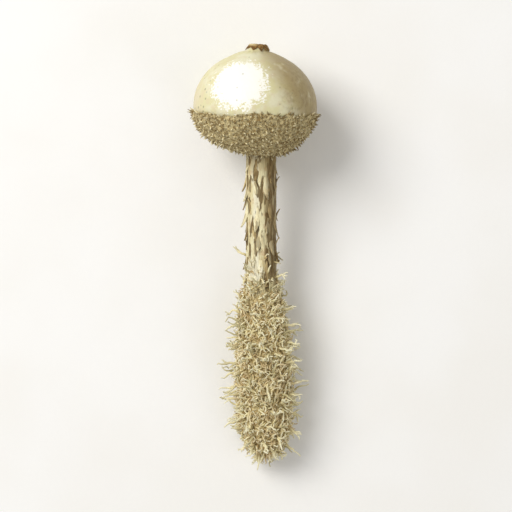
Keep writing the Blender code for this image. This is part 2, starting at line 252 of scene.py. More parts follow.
def hand_over(piece: bpy.types.Object, part: Part, replaces: bool = False) -> None:
    """Rides a finished piece on the fungus and reports it.

    Args:
        piece: The piece.
        part: The part that it belongs to.
        replaces: Whether it stands for that part's solid.
    """
    solid, slot = part.value
    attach(piece, "root")
    if replaces:
        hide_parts(solid)
    triangles = sum(len(face.vertices) - 2 for face in piece.data.polygons)
    LOG.info("%s: %d triangles", piece.name, triangles)


def stand_in(mesh: bpy.types.Mesh, name: str, material: bpy.types.Material, part: Part, lay: Matrix) -> None:
    """Lays an upright mesh down, by a matrix, as the piece that replaces a part's solid."""
    mesh.transform(lay)
    hand_over(piece_of(mesh, name, material), part, replaces=True)


class Wiring:
    """Short calls that add nodes to one tree."""

    def __init__(self, tree: bpy.types.NodeTree) -> None:
        """Keeps the tree."""
        self.tree = tree

    def put(
        self,
        kind: str,
        feeds: dict[str | int, Feed] | None = None,
        **settings: str | bpy.types.NodeTree,
    ) -> bpy.types.Node:
        """Adds a node.

        Args:
            kind: The node's type.
            feeds: What goes into its inputs, by their name or place: a socket to link or a value.
            settings: Its properties.

        Returns:
            The node.
        """
        node = self.tree.nodes.new(kind)
        for name, value in settings.items():
            setattr(node, name, value)
        for key, feed in (feeds or {}).items():
            if isinstance(feed, Socket):
                self.tree.links.new(feed, node.inputs[key])
            else:
                node.inputs[key].default_value = feed
        return node

    def open(self, kinds: dict[str, str], result: str, result_kind: str) -> dict[str, str]:
        """Gives the tree its inputs and its one output.

        Args:
            kinds: Each input's kind, by its name.
            result: The output's name.
            result_kind: The output's kind.

        Returns:
            Each input's identifier, by its name.
        """
        keys = {}
        sockets = self.tree.interface
        for name, kind in kinds.items():
            socket = sockets.new_socket(name=name, in_out="INPUT", socket_type=f"NodeSocket{kind}")
            keys[name] = socket.identifier
        sockets.new_socket(name=result, in_out="OUTPUT", socket_type=f"NodeSocket{result_kind}")
        return keys

    def maths(self, operation: str, *feeds: Feed) -> Socket:
        """Adds a Math node and returns its result."""
        return self.put("ShaderNodeMath", dict(enumerate(feeds)), operation=operation).outputs[0]

    def product(self, first: Feed, *others: Feed) -> Feed:
        """Multiplies numbers or masks, one after the other.

        Args:
            first: The first of them.
            others: The others.

        Returns:
            The product.
        """
        for other in others:
            first = self.maths("MULTIPLY", first, other)
        return first

    def vectors(self, operation: str, *feeds: Feed) -> Socket:
        """Adds a Vector Math node and returns its vector."""
        return self.put("ShaderNodeVectorMath", dict(enumerate(feeds)), operation=operation).outputs[0]

    def scaled(self, vector: Feed, factor: Feed) -> Socket:
        """Scales a vector by a number."""
        feeds = {"Vector": vector, "Scale": factor}
        return self.put("ShaderNodeVectorMath", feeds, operation="SCALE").outputs[0]

    def joined(self, x: Feed = 0.0, y: Feed = 0.0, z: Feed = 0.0) -> Socket:
        """Joins three numbers into a vector."""
        return self.put("ShaderNodeCombineXYZ", {0: x, 1: y, 2: z}).outputs[0]

    def part(self, vector: Feed, axis: int) -> Socket:
        """A vector's X, Y or Z, as axis 0, 1 or 2."""
        return self.put("ShaderNodeSeparateXYZ", {0: vector}).outputs[axis]

    def ramp(self, value: Feed, low: Feed, high: Feed) -> Socket:
        """Eases a number from 0 at low to 1 at high."""
        feeds = {"Value": value, "From Min": low, "From Max": high}
        return self.put("ShaderNodeMapRange", feeds, interpolation_type="SMOOTHSTEP").outputs[0]

    def noisy(self, place: Feed, detail: float, distortion: float = 0.0) -> bpy.types.NodeOutputs:
        """Adds a noise texture and returns its outputs, Fac and Color."""
        feeds = {"Vector": place, "Scale": 1.0, "Detail": detail, "Distortion": distortion}
        return self.put("ShaderNodeTexNoise", feeds).outputs

    def result(self, name: str, feed: Feed) -> bpy.types.NodeTree:
        """Feeds the tree's one output and returns the tree."""
        self.put("NodeGroupOutput", {name: feed})
        return self.tree


class GrowthTree(Wiring):
    """A geometry tree that spreads roots over a bed and grows something from each.

    The bed's "cover" says how much of it bears roots. The crowding is how many roots are tried on a square
    as wide as their spacing.
    """

    crowding = 2.5

    def __init__(self, name: str, kinds: dict[str, str]) -> None:
        """Starts the tree.

        Args:
            name: The tree's name.
            kinds: Each input's kind by its name, besides the bed, spacing, length, seed and material.
        """
        super().__init__(bpy.data.node_groups.new(name, "GeometryNodeTree"))
        shared = {"Geometry": "Geometry", "spacing": "Float", "length": "Float", "seed": "Int"}
        self.keys = self.open(shared | kinds | {"material": "Material"}, "Geometry", "Geometry")
        self.given = self.tree.nodes.new("NodeGroupInput").outputs

    def named(self, name: str, kind: str = "FLOAT") -> Socket:
        """Reads a named attribute."""
        node = self.put("GeometryNodeInputNamedAttribute", {"Name": name}, data_type=kind)
        return node.outputs["Attribute"]

    def stored(self, geometry: Feed, name: str, value: Feed, kind: str = "FLOAT") -> Socket:
        """Stores a named attribute on points."""
        feeds = {"Geometry": geometry, "Name": name, "Value": value}
        return self.put("GeometryNodeStoreNamedAttribute", feeds, data_type=kind, domain="POINT").outputs[0]

    def drawn(self, low: Feed, high: Feed, offset: float) -> Socket:
        """Draws a number for each point, with an offset to the seed of its own."""
        feeds = {2: low, 3: high, "Seed": self.maths("ADD", self.given["seed"], offset)}
        return self.put("FunctionNodeRandomValue", feeds, data_type="FLOAT").outputs[1]

    def drawn_vector(self, size: float, offset: float) -> Socket:
        """Draws a vector for each point, with each part between -size and size."""
        feeds = {0: (-size,) * 3, 1: (size,) * 3, "Seed": self.maths("ADD", self.given["seed"], offset)}
        return self.put("FunctionNodeRandomValue", feeds, data_type="FLOAT_VECTOR").outputs[0]

    def moved(self, geometry: Feed, offset: Feed) -> Socket:
        """Moves points by an offset."""
        return self.put("GeometryNodeSetPosition", {"Geometry": geometry, "Offset": offset}).outputs[0]

    def turned(self, vector: Feed, axis: str, **feeds: Feed) -> Socket:
        """Adds a rotation that points an axis along a vector.

        Args:
            vector: The vector.
            axis: The axis.
            feeds: Where it has one, the Rotation that it starts from and turns about Z.

        Returns:
            The rotation.
        """
        settings = {"axis": axis} | ({"pivot_axis": "Z"} if feeds else {})
        feeds |= {"Vector": vector}
        return self.put("FunctionNodeAlignRotationToVector", feeds, **settings).outputs[0]

    def scattered(self) -> bpy.types.Node:
        """Spreads roots no closer than the spacing, as thickly as the bed's cover says.

        Returns:
            The node, with the roots and the bed's normal at each.
        """
        nearest = self.given["spacing"]
        feeds = {
            "Mesh": self.given["Geometry"],
            "Distance Min": nearest,
            "Density Max": self.maths("DIVIDE", self.crowding, self.maths("POWER", nearest, 2.0)),
            "Density Factor": self.named("cover"),
            "Seed": self.given["seed"],
        }
        return self.put("GeometryNodeDistributePointsOnFaces", feeds, distribute_method="POISSON")

    def planted(self, points: Feed, shape: Feed, turn: Feed, size: Feed, chosen: Feed = True) -> Socket:
        """Plants a copy of a shape at each chosen point.

        Args:
            points: The points.
            shape: The shape.
            turn: How each copy is turned.
            size: How each copy is scaled.
            chosen: Which points get one.

        Returns:
            The copies, as real geometry.
        """
        feeds = {"Points": points, "Instance": shape, "Rotation": turn, "Scale": size, "Selection": chosen}
        copies = self.put("GeometryNodeInstanceOnPoints", feeds).outputs[0]
        return self.put("GeometryNodeRealizeInstances", {"Geometry": copies}).outputs[0]

    def close(self, geometry: Feed) -> None:
        """Ends the tree with what it has grown.

        Args:
            geometry: The growth, which is smoothed, made whole and given its finish.
        """
        smooth = self.put("GeometryNodeSetShadeSmooth", {"Geometry": geometry}).outputs[0]
        whole = self.put("GeometryNodeRealizeInstances", {"Geometry": smooth}).outputs[0]
        feeds = {"Geometry": whole, "Material": self.given["material"]}
        self.result("Geometry", self.put("GeometryNodeSetMaterial", feeds).outputs[0])

    def grow(
        self,
        name: str,
        bed: bpy.types.Mesh,
        sizes: dict[str, Feed | bpy.types.Object],
    ) -> bpy.types.Object:
        """Grows a piece on a bed.

        Args:
            name: The new piece's name.
            bed: The lying surface that it grows on, with its attributes.
            sizes: The tree's inputs, by their names.

        Returns:
            The growth as a plain mesh, without the bed.
        """
        piece = bpy.data.objects.new(name, bed)
        bpy.context.scene.collection.objects.link(piece)
        modifier = piece.modifiers.new("Growth", "NODES")
        modifier.node_group = self.tree
        for key, value in sizes.items():
            modifier[self.keys[key]] = value
        graph = bpy.context.evaluated_depsgraph_get()
        grown = piece.evaluated_get(graph)
        mesh = bpy.data.meshes.new_from_object(grown, preserve_all_data_layers=True, depsgraph=graph)
        piece.modifiers.clear()
        piece.data = mesh
        return piece


@dataclass(frozen=True)
class Strands:
    """Sizes of one growth of hairs or spines. Each field is an input of the tree that grows them.

    A strand starts along a mix of the bed's normal (outward), a stray direction (disorder), which the
    flatness presses along the bed, and the way to the crown (crownward). Its tip then swings by its curl.
    """

    seed: int
    spacing: float
    length: float
    length_spread: float
    root_radius: float
    tip_share: float
    disorder: float
    crownward: float
    curl: float
    curl_turns: float
    sunk: float
    joints: int
    sides: int
    outward: float = 1.0
    flatness: float = 0.0
    fork_share: float = 0.0
    fork_length: float = 0.0015


class StrandTree(GrowthTree):
    """Grows tapered, crooked strands that stay above the ground.

    The bed's "reach" says how long they are there, and its "lean" how far they point to the crown. On the
    strands, "along" runs from 0 to 1 and "tint" differs for each.
    """

    phase_spread = 40.0
    swing_power = 0.7
    buds_on_strand = 5
    inner_buds = 3.0
    inner_reach = 0.3
    fork_joints = 5
    fork_stray = 1.1
    fork_at_root = 1.3
    fork_curl = 0.6
    taper = 1.6
    least_girth = 0.75
    girth_spread = 0.4
    clearance = 0.00001

    def __init__(self) -> None:
        """Builds the tree: the strands, then their forks, then a tube round each."""
        kinds = {field.name: "Int" if field.type is int else "Float" for field in fields(Strands)}
        super().__init__("strand_growth", kinds)
        strands = self._strands(self.scattered())
        both = self.put("GeometryNodeJoinGeometry", {"Geometry": strands})
        self.tree.links.new(self._forks(strands), both.inputs[0])
        self.close(self._tubes(both.outputs[0]))

    def _factor(self) -> Socket:
        """How far along its strand a point is."""
        return self.put("GeometryNodeSplineParameter").outputs["Factor"]

    def _lines(self, points: Feed, joints: Feed, heading: Feed, length: Feed, chosen: Feed = True) -> Socket:
        """Plants straight strands.

        Args:
            points: Their roots.
            joints: How many points each strand has.
            heading: Which way each points.
            length: How long each is.
            chosen: Which roots bear one.

        Returns:
            The strands, as curves.
        """
        line = self.put("GeometryNodeCurvePrimitiveLine", {"Start": (0, 0, 0), "End": (0, 0, 1)}).outputs[0]
        jointed = self.put("GeometryNodeResampleCurve", {"Curve": line, "Count": joints}).outputs[0]
        size = self.joined(length, length, length)
        return self.planted(points, jointed, self.turned(heading, "Z"), size, chosen)

    def _curled(self, strands: Feed, amount: Feed, stretch: float) -> Socket:
        """Bends strands, more towards their tips.

        Args:
            strands: The strands.
            amount: How far their tips move.
            stretch: What each strand's own phase is multiplied by.

        Returns:
            The bent strands.
        """
        run = self.product(self._factor(), self.given["curl_turns"])
        phase = self.scaled(self.named("phase", "FLOAT_VECTOR"), stretch)
        drawn = self.noisy(self.vectors("ADD", phase, self.joined(run)), 1.0)["Color"]
        swing = self.vectors("SUBTRACT", drawn, (0.5, 0.5, 0.5))
        reach = self.product(self.maths("POWER", self._factor(), self.swing_power), amount, 2.0)
        return self.moved(strands, self.scaled(swing, reach))

    def _heading(self, normal: Feed) -> Socket:
        """Which way each strand starts out.

        Args:
            normal: The bed's normal at each root.

        Returns:
            The direction, of unit length.
        """
        stray = self.scaled(self.drawn_vector(1.0, 3), self.given["disorder"])
        rising = self.put("ShaderNodeVectorMath", {0: stray, 1: normal}, operation="DOT_PRODUCT")
        pressed = self.scaled(normal, self.product(rising.outputs["Value"], self.given["flatness"]))
        lean = self.scaled(POSTURE.crownwards(), self.product(self.named("lean"), self.given["crownward"]))
        outward = self.scaled(normal, self.given["outward"])
        level = self.vectors("ADD", outward, self.vectors("SUBTRACT", stray, pressed))
        return self.vectors("NORMALIZE", self.vectors("ADD", level, lean))

    def _strands(self, spread: bpy.types.Node) -> Socket:
        """Grows the strands.

        Args:
            spread: Gives the roots, and the bed's normal at each.

        Returns:
            The strands, as curves that carry their attributes.
        """
        normal = spread.outputs["Normal"]
        phase = self.drawn_vector(self.phase_spread, 1)
        roots = self.stored(spread.outputs["Points"], "phase", phase, "FLOAT_VECTOR")
        roots = self.stored(roots, "tint", self.drawn(0.0, 1.0, 2))
        roots = self.stored(roots, "start", 0.0)
        roots = self.moved(roots, self.scaled(normal, self.product(self.given["sunk"], -1.0)))
        either_way = self.given["length_spread"]
        share = self.drawn(self.maths("SUBTRACT", 1.0, either_way), self.maths("ADD", 1.0, either_way), 4)
        length = self.product(share, self.given["length"], self.named("reach"))
        strands = self._lines(roots, self.given["joints"], self._heading(normal), length)
        return self.stored(self._curled(strands, self.given["curl"], 1.0), "along", self._factor())

    def _forks(self, strands: Feed) -> Socket:
        """Grows forks from the middle of some strands.

        Args:
            strands: The strands.

        Returns:
            The forks, as curves that carry on their strands' attributes.
        """
        buds = self.put("GeometryNodeCurveToPoints", {"Curve": strands, "Count": self.buds_on_strand})
        off_middle = self.maths("ABSOLUTE", self.maths("SUBTRACT", self.named("along"), 0.5))
        inner = self.maths("LESS_THAN", off_middle, self.inner_reach)
        share = self.maths("DIVIDE", self.given["fork_share"], self.inner_buds)
        chosen = self.product(inner, self.maths("LESS_THAN", self.drawn(0.0, 1.0, 5), share))
        points = self.stored(buds.outputs["Points"], "start", self.named("along"))
        side = self.vectors("ADD", buds.outputs["Tangent"], self.drawn_vector(self.fork_stray, 6))
        shortening = self.maths("SUBTRACT", self.fork_at_root, self.named("along"))
        length = self.product(self.given["fork_length"], shortening)
        forks = self._lines(points, self.fork_joints, self.vectors("NORMALIZE", side), length, chosen)
        forks = self._curled(forks, self.product(self.given["curl"], self.fork_curl), 2.0)
        run = self.product(self._factor(), self.maths("SUBTRACT", 1.0, self.named("start")))
        return self.stored(forks, "along", self.maths("ADD", self.named("start"), run))

    def _tubes(self, curves: Feed) -> Socket:
        """Gives strands their thickness and keeps them off the ground.

        Args:
            curves: The strands and forks.

        Returns:
            Closed tubes that taper to their tips.
        """
        loss = self.maths("SUBTRACT", 1.0, self.given["tip_share"])
        lost = self.product(self.maths("POWER", self.named("along"), self.taper), loss)
        girth = self.maths("ADD", self.least_girth, self.product(self.named("tint"), self.girth_spread))
        radius = self.product(self.maths("SUBTRACT", 1.0, lost), girth, self.given["root_radius"])
        place = self.put("GeometryNodeInputPosition").outputs[0]
        above = self.maths("MAXIMUM", self.part(place, 2), self.maths("ADD", radius, self.clearance))
        kept_up = self.joined(self.part(place, 0), self.part(place, 1), above)
        laid = self.put("GeometryNodeSetPosition", {"Geometry": curves, "Position": kept_up}).outputs[0]
        feeds = {"Resolution": self.given["sides"], "Radius": 1.0}
        section = self.put("GeometryNodeCurvePrimitiveCircle", feeds).outputs[0]
        feeds = {"Curve": laid, "Profile Curve": section, "Scale": radius, "Fill Caps": True}
        return self.put("GeometryNodeCurveToMesh", feeds).outputs[0]


class ScaleTree(GrowthTree):
    """Lays flat scales along the stem, some with their tips up and more with them down."""

    lengths = (0.6, 1.35)
    widths = (0.5, 0.95)
    lifts = (0.6, 1.6)
    hanging = 0.6
    askew = 0.16

    def __init__(self) -> None:
        """Builds the tree."""
        super().__init__("scale_growth", {"pattern": "Object"})
        spread = self.scattered()
        roots = self.stored(spread.outputs["Points"], "tint", self.drawn(0.0, 1.0, 1))
        shape = self.put("GeometryNodeObjectInfo", {"Object": self.given["pattern"]}).outputs["Geometry"]
        length = self.product(self.given["length"], self.drawn(*self.lengths, 4))
        width = self.product(length, self.drawn(*self.widths, 5))
        lift = self.product(length, self.drawn(*self.lifts, 6))
        turn = self._turn(spread.outputs["Normal"])
        self.close(self.planted(roots, shape, turn, self.joined(width, length, lift)))

    def _turn(self, normal: Feed) -> Socket:
        """How each scale is turned.

        Args:
            normal: The stem's normal at each root.

        Returns:
            The rotation of a scale whose outer face is up and whose tip points along Y.
        """
        upwards = self.turned(POSTURE.crownwards(), "Y", Rotation=self.turned(normal, "Z"))
        downwards = self.product(self.maths("LESS_THAN", self.drawn(0.0, 1.0, 2), self.hanging), math.pi)
        about = self.joined(z=self.maths("ADD", downwards, self.drawn(-self.askew, self.askew, 3)))
        askew = self.put("FunctionNodeEulerToRotation", {0: about}).outputs[0]
        feeds = {"Rotation": upwards, "Rotate By": askew}
        return self.put("FunctionNodeRotateRotation", feeds, rotation_space="LOCAL").outputs[0]


class Effects:
    """Shader groups for what several finishes share. Sizes in them are in millimetres."""

    def __init__(self) -> None:
        """Builds the groups."""
        self.mottle = self._noisy("mottle", 2.5, {"Size": 1.0, "Low": 0.4, "High": 0.6})
        self.streaks = self._noisy("streaks", 2.0, {"Size": 0.3, "Stretch": 6.0, "Low": 0.5, "High": 0.6})
        self.grain = self._noisy("grain", 4.0, {"Size": 0.2, "Low": 0.2, "High": 0.8})
        self.specks = self._specks()
        self.curls = self._curls()

    def _group(self, name: str, sizes: dict[str, float]) -> tuple[Wiring, bpy.types.NodeOutputs, Socket]:
        """Starts a group whose output is a mask.

        Args:
            name: The group's name.
            sizes: The numbers that it takes besides a vector, with their usual values.

        Returns:
            The group, its inputs, and the place in units of its size, drawn out along the stem by its
            stretch where it has one.
        """
        group = Wiring(bpy.data.node_groups.new(name, "ShaderNodeTree"))
        group.open({"Vector": "Vector"} | dict.fromkeys(sizes, "Float"), "Mask", "Float")
        for item in group.tree.interface.items_tree:
            if item.name in sizes:
                item.default_value = sizes[item.name]
        given = group.tree.nodes.new("NodeGroupInput").outputs
        across = group.maths("DIVIDE", 1.0, given["Size"])
        lengthwise = group.maths("DIVIDE", across, given["Stretch"]) if "Stretch" in sizes else across
        place = group.vectors("MULTIPLY", given["Vector"], group.joined(across, across, lengthwise))
        return group, given, place

    def _noisy(self, name: str, detail: float, sizes: dict[str, float]) -> bpy.types.NodeTree:
        """A group whose mask is smooth noise.

        Args:
            name: The group's name.
            detail: How fine the noise is.
            sizes: The group's numbers, with their usual values.

        Returns:
            The group's tree.
        """
        group, given, place = self._group(name, sizes)
        drawn = group.noisy(place, detail)["Fac"]
        return group.result("Mask", group.ramp(drawn, given["Low"], given["High"]))

    def _specks(self) -> bpy.types.NodeTree:
        """A group whose mask is small round dots, some of them left out.

        Returns:
            The group's tree.
        """
        group, given, place = self._group("specks", {"Size": 0.8, "Radius": 0.12, "Share": 0.4})
        cells = group.put("ShaderNodeTexVoronoi", {"Vector": place, "Scale": 1.0})
        radius = group.maths("DIVIDE", given["Radius"], given["Size"])
        dots = group.ramp(cells.outputs["Distance"], radius, group.product(radius, 0.5))
        kept = group.maths("LESS_THAN", group.part(cells.outputs["Color"], 0), given["Share"])
        return group.result("Mask", group.product(dots, kept))

    def _curls(self) -> bpy.types.NodeTree:
        """A group whose mask is thin winding lines, like matted hair.

        Returns:
            The group's tree.
        """
        group, given, place = self._group("curls", {"Size": 0.6, "Width": 0.07})
        drawn = group.noisy(place, 1.0, distortion=1.4)["Fac"]
        off_line = group.maths("ABSOLUTE", group.maths("SUBTRACT", drawn, 0.5))
        return group.result("Mask", group.ramp(off_line, given["Width"], 0.0))


@cache
def shared_effects() -> Effects:
    """The shader groups, built once."""
    return Effects()


@dataclass(frozen=True)
class Patch:
    """A patch of colour, in millimetres on the upright fungus, and how far its ragged edge wanders."""

    centre: Point
    reach: float
    ragged: float


# The pale patch in front, low on the bare stem and on its scales there.
PALE_FOOT = Patch(centre=(-0.3, -1.8, 28.3), reach=1.5, ragged=0.6)


class Paint(Wiring):
    """One material in the making, patterned in millimetres along the upright fungus."""

    def __init__(self, name: str, roughness: float, specular: float) -> None:
        """Starts the material.

        Args:
            name: Its name.
            roughness: Its roughness.
            specular: How strongly it mirrors light.
        """
        self.effects = shared_effects()
        self.material = bpy.data.materials.new(name)
        self.material.use_nodes = True
        super().__init__(self.material.node_tree)
        self.shader = self.tree.nodes["Principled BSDF"]
        self.shader.inputs["Roughness"].default_value = roughness
        self.shader.inputs["Specular IOR Level"].default_value = specular
        upright = POSTURE.lying().inverted()
        feeds = {
            "Vector": self.put("ShaderNodeTexCoord").outputs["Object"],
            "Location": tuple(upright.to_translation() * MM_PER_METRE),
            "Rotation": tuple(upright.to_euler()),
            "Scale": (MM_PER_METRE,) * 3,
        }
        self.place = self.put("ShaderNodeMapping", feeds).outputs[0]

    def mask(self, group: bpy.types.NodeTree, **sizes: float) -> Socket:
        """Places a shared effect.

        Args:
            group: The effect.
            sizes: Its sizes, named as its inputs are.

        Returns:
            Its mask.
        """
        node = self.put("ShaderNodeGroup", node_tree=group)
        self.tree.links.new(self.place, node.inputs["Vector"])
        for name, value in sizes.items():
            node.inputs[name].default_value = value
        return node.outputs[0]

    def clouds(self, size: float, low: float, high: float) -> Socket:
        """Soft patches of a size, which cover more where low and high are low."""
        return self.mask(self.effects.mottle, Size=size, Low=low, High=high)

    def fibres(self, size: float, stretch: float, low: float, high: float) -> Socket:
        """Streaks of a width along the stem, drawn out by the stretch."""
        return self.mask(self.effects.streaks, Size=size, Stretch=stretch, Low=low, High=high)

    def attribute(self, name: str) -> Socket:
        """Reads a number that the mesh carries."""
        return self.put("ShaderNodeAttribute", attribute_name=name).outputs["Fac"]

    def axis(self, axis: int) -> Socket:
        """The place's X, Y or Z in millimetres, as axis 0, 1 or 2."""
        return self.part(self.place, axis)

    def rightwards(self, low: float, high: float) -> Socket:
        """Eases from 0 to 1 between two places across the fungus, in millimetres."""
        return self.ramp(self.axis(0), low, high)

    def upwards(self, low: float, over: float) -> Socket:
        """Eases from 0 at a height to 1, over a stretch above it, in millimetres."""
        return self.ramp(self.axis(2), low, low + over)

    def dashes(self) -> Socket:
        """The long dashes of painted shadow under scale edges, which run over the stem and its scales alike.
        """
        return self.fibres(0.6, 4.0, 0.53, 0.58)

    def near(self, patch: Patch) -> Socket:
        """A patch with a broken edge.

        Args:
            patch: Where it is and how far it reaches.

        Returns:
            The mask.
        """
        away = self.put("ShaderNodeVectorMath", {0: self.place, 1: patch.centre}, operation="DISTANCE")
        both = self.maths("ADD", self.clouds(0.8, 0.2, 0.8), self.clouds(0.28, 0.3, 0.7))
        edge = self.maths("ADD", away.outputs["Value"], self.product(both, patch.ragged))
        return self.ramp(edge, patch.reach + patch.ragged * 1.3, patch.reach + patch.ragged * 0.7)

    def layered(self, ground: Feed, *layers: Layer) -> Feed:
        """Lays colours over a ground, one after the other.

        Args:
            ground: The colour below.
            layers: For each, where it shows, its colour, and its share where it shows in full.

        Returns:
            The mixed colour.
        """
        for mask, colour, share in layers:
            feeds = {0: self.product(mask, share), 6: ground, 7: colour}
            ground = self.put("ShaderNodeMix", feeds, data_type="RGBA").outputs[2]
        return ground

    def finish(self, colour: Feed, height: Feed, depth: float, strength: float = 1.0) -> bpy.types.Material:
        """Feeds the shader.

        Args:
            colour: The base colour.
            height: What the bump follows, 0 to 1.
            depth: The bump's depth in metres.
            strength: The bump's strength.

        Returns:
            The material.
        """
        bump = self.put("ShaderNodeBump", {"Height": height, "Distance": depth, "Strength": strength})
        self.tree.links.new(bump.outputs[0], self.shader.inputs["Normal"])
        self.tree.links.new(colour, self.shader.inputs["Base Color"])
        return self.material


@dataclass(frozen=True)
class SacFinish:
    """Dry, papery skin: a painted highlight in front, yellow round that, painted shade on the right side,
    with a few specks.
    """

    yellow: Colour = shade(220, 214, 168)
    cream: Colour = shade(228, 224, 194)
    # The colour of the painted highlight on the front's upper left, which faces the key light.
    white: Colour = shade(252, 251, 242)
    blush: Colour = shade(220, 206, 172)
    # The colours of the painted shade on the right side, away from the key light.
    olive: Colour = shade(158, 136, 88)
    dun: Colour = shade(126, 104, 58)
    speck: Colour = shade(132, 134, 104)
    # Where the painted highlight lies: upper left on the front, with a ragged edge.
    bleached: Patch = Patch(centre=(-2.4, -7.6, 56.9), reach=4.1, ragged=1.5)
    # The painted shade on the right starts at a line across the head that slants towards the crown.
    slant: float = 0.6
    slant_height: float = 57.5

    def material(self) -> bpy.types.Material:
        """Builds the material, whose painted shade on the right starts at a line that slants towards the
        crown.

        Returns:
            The material.
        """
        paint = Paint("papery_cream", roughness=0.5, specular=0.35)
        # Painted shade on the right side: olive with a mottled edge, and dun mottling further right.
        aslant = paint.maths("MULTIPLY_ADD", paint.axis(2), self.slant, paint.axis(0))
        start = self.slant * self.slant_height
        side = paint.product(paint.ramp(aslant, start + 1.0, start + 5.2), paint.clouds(1.5, 0.05, 0.45))
        edge = paint.product(paint.rightwards(2.5, 6.0), paint.clouds(0.6, 0.45, 0.65))
        many = paint.mask(paint.effects.specks, Size=0.85, Radius=0.24, Share=0.5)
        few = paint.mask(paint.effects.specks, Size=0.9, Radius=0.2, Share=0.12)
        colour = paint.layered(
            self.yellow,
            (paint.clouds(2.2, 0.42, 0.6), self.cream, 0.8),
            (paint.clouds(0.9, 0.5, 0.68), self.blush, 0.55),
            # Painted shade on the right side, olive and then dun.
            (side, self.olive, 0.85),
            (edge, self.dun, 0.3),
            # Painted highlight on the front's upper left.
            (paint.near(self.bleached), self.white, 1.0),
            (paint.rightwards(-7.0, -9.0), self.blush, 0.6),
            (paint.product(many, paint.rightwards(-4.5, -7.5)), self.speck, 0.6),
            (few, self.speck, 0.4),
        )
        return paint.finish(colour, paint.mask(paint.effects.grain, Size=0.45), depth=0.00004, strength=0.6)


@dataclass(frozen=True)
class CrownFinish:
    """Brown, crumbly rim round the mouth, cream on parts of its crest."""

    brown: Colour = shade(150, 116, 66)
    dark: Colour = shade(96, 68, 34)
    pale: Colour = shade(226, 208, 156)
    crest_from: float = 61.95

    def material(self) -> bpy.types.Material:
        """Builds the material.

        Returns:
            The material.
        """
        paint = Paint("crumbly_brown", roughness=0.8, specular=0.2)
        crest = paint.product(paint.upwards(self.crest_from, 0.25), paint.rightwards(0.7, -0.3))
        clouds = paint.clouds(0.5, 0.4, 0.6)
        colour = paint.layered(self.brown, (clouds, self.dark, 0.8), (crest, self.pale, 0.85))
        return paint.finish(colour, paint.mask(paint.effects.grain, Size=0.22), depth=0.00006)


@dataclass(frozen=True)
class FeltFinish:
    """Matted felt: the ground of the outer skin, and that of the wool."""

    name: str
    base: Colour
    dark: Colour
    light: Colour
    curl_size: float
    bare_from: float | None = None
    bare: Colour = shade(228, 216, 170)

    def material(self) -> bpy.types.Material:
        """Builds the material.

        Returns:
            The material, which shows the stem through it from the bare height up, where it has one.
        """
        paint = Paint(self.name, roughness=0.9, specular=0.15)
        curls = paint.mask(paint.effects.curls, Size=self.curl_size, Width=0.06)
        clouds = paint.clouds(0.5, 0.46, 0.58)
        colour = paint.layered(self.base, (clouds, self.dark, 0.85), (curls, self.light, 0.8))
        if self.bare_from is not None:
            upper = paint.upwards(self.bare_from, 2.5)
            # Painted shadows under scale edges, as long brown dashes, where the stem shows through.
            dashes = paint.product(paint.dashes(), upper)
            colour = paint.layered(colour, (upper, self.bare, 0.75), (dashes, STEM_BROWN, 0.8))
        return paint.finish(colour, curls, depth=0.00016)


@dataclass(frozen=True)
class StrandFinish:
    """Hairs or spines that pale from root to tip, with each a little different.

    Some of them, and blotches across them, are stained, and the right side, as far as it is shaded, gets the
    stain colour as painted shade.
    """

    name: str
    root: Colour
    middle: Colour
    tip: Colour
    stain: Colour
    stain_share: float
    pale_from: float = 0.35
    blotch_size: float = 1.6
    blotch: float = 0.3
    shaded: float = 0.0

    def material(self) -> bpy.types.Material:
        """Builds the material.

        Returns:
            The material.
        """
        paint = Paint(self.name, roughness=0.75, specular=0.25)
        along = paint.attribute("along")
        stained = paint.maths("LESS_THAN", paint.attribute("tint"), self.stain_share)
        colour = paint.layered(
            self.root,
            (paint.ramp(along, 0.0, self.pale_from + 0.1), self.middle, 1.0),
            (paint.ramp(along, self.pale_from, 1.0), self.tip, 1.0),
            (stained, self.stain, 0.6),
            (paint.clouds(self.blotch_size, 0.45, 0.6), self.stain, self.blotch),
            # Painted shade: the stain colour over the right side, away from the key light.
            (paint.rightwards(-2.0, 7.0), self.stain, self.shaded),
        )
        return paint.finish(colour, paint.fibres(0.06, 3.0, 0.3, 0.7), depth=0.00002)


@dataclass(frozen=True)
class StemFinish:
    """Fibrous cream stem with brown dashes of painted shadow under scale edges, a painted highlight streak,
    a pale foot, painted shade on its right side and painted shadow under the head at its top.
    """

    cream: Colour = shade(246, 238, 196)
    tan: Colour = shade(208, 186, 132)
    blush: Colour = shade(214, 182, 140)
    # Colour and start height of the painted shadow that the head casts on the top of the stem.
    olive: Colour = shade(150, 128, 76)
    olive_from: float = 42.4

    def material(self) -> bpy.types.Material:
        """Builds the material.

        Returns:
            The material.
        """
        paint = Paint("fibrous_cream", roughness=0.7, specular=0.25)
        # Painted highlight: a white streak just left of the stem's middle, on the side towards the key
        # light.
        band = paint.product(paint.rightwards(-0.8, -0.2), paint.rightwards(0.9, 0.3))
        # Painted shade: brown streaks over the stem's right third, away from the key light.
        side = paint.product(paint.rightwards(1.1, 2.0), paint.fibres(0.5, 9.0, 0.25, 0.5))
        # Painted shadows under scale edges, as long brown dashes.
        dashes = paint.dashes()
        fibres = paint.fibres(0.12, 14.0, 0.3, 0.7)
        colour = paint.layered(
            self.cream,
            (paint.fibres(0.9, 5.0, 0.44, 0.6), self.tan, 0.6),
            (paint.clouds(1.3, 0.52, 0.66), self.blush, 0.7),
            # Painted highlight streak.
            (paint.product(band, paint.fibres(0.8, 6.0, 0.38, 0.5)), STEM_WHITE, 0.9),
            # Painted shade on the right third.
            (side, STEM_BROWN, 0.9),
            # Painted shadow under the head.
            (paint.upwards(self.olive_from, 2.4), self.olive, 0.6),
            # Painted shadows under scale edges.
            (dashes, STEM_BROWN, 0.9),
            (paint.near(PALE_FOOT), STEM_WHITE, 0.9),
            (fibres, self.tan, 0.25),
        )
        return paint.finish(colour, paint.maths("SUBTRACT", fibres, dashes), depth=0.00008)


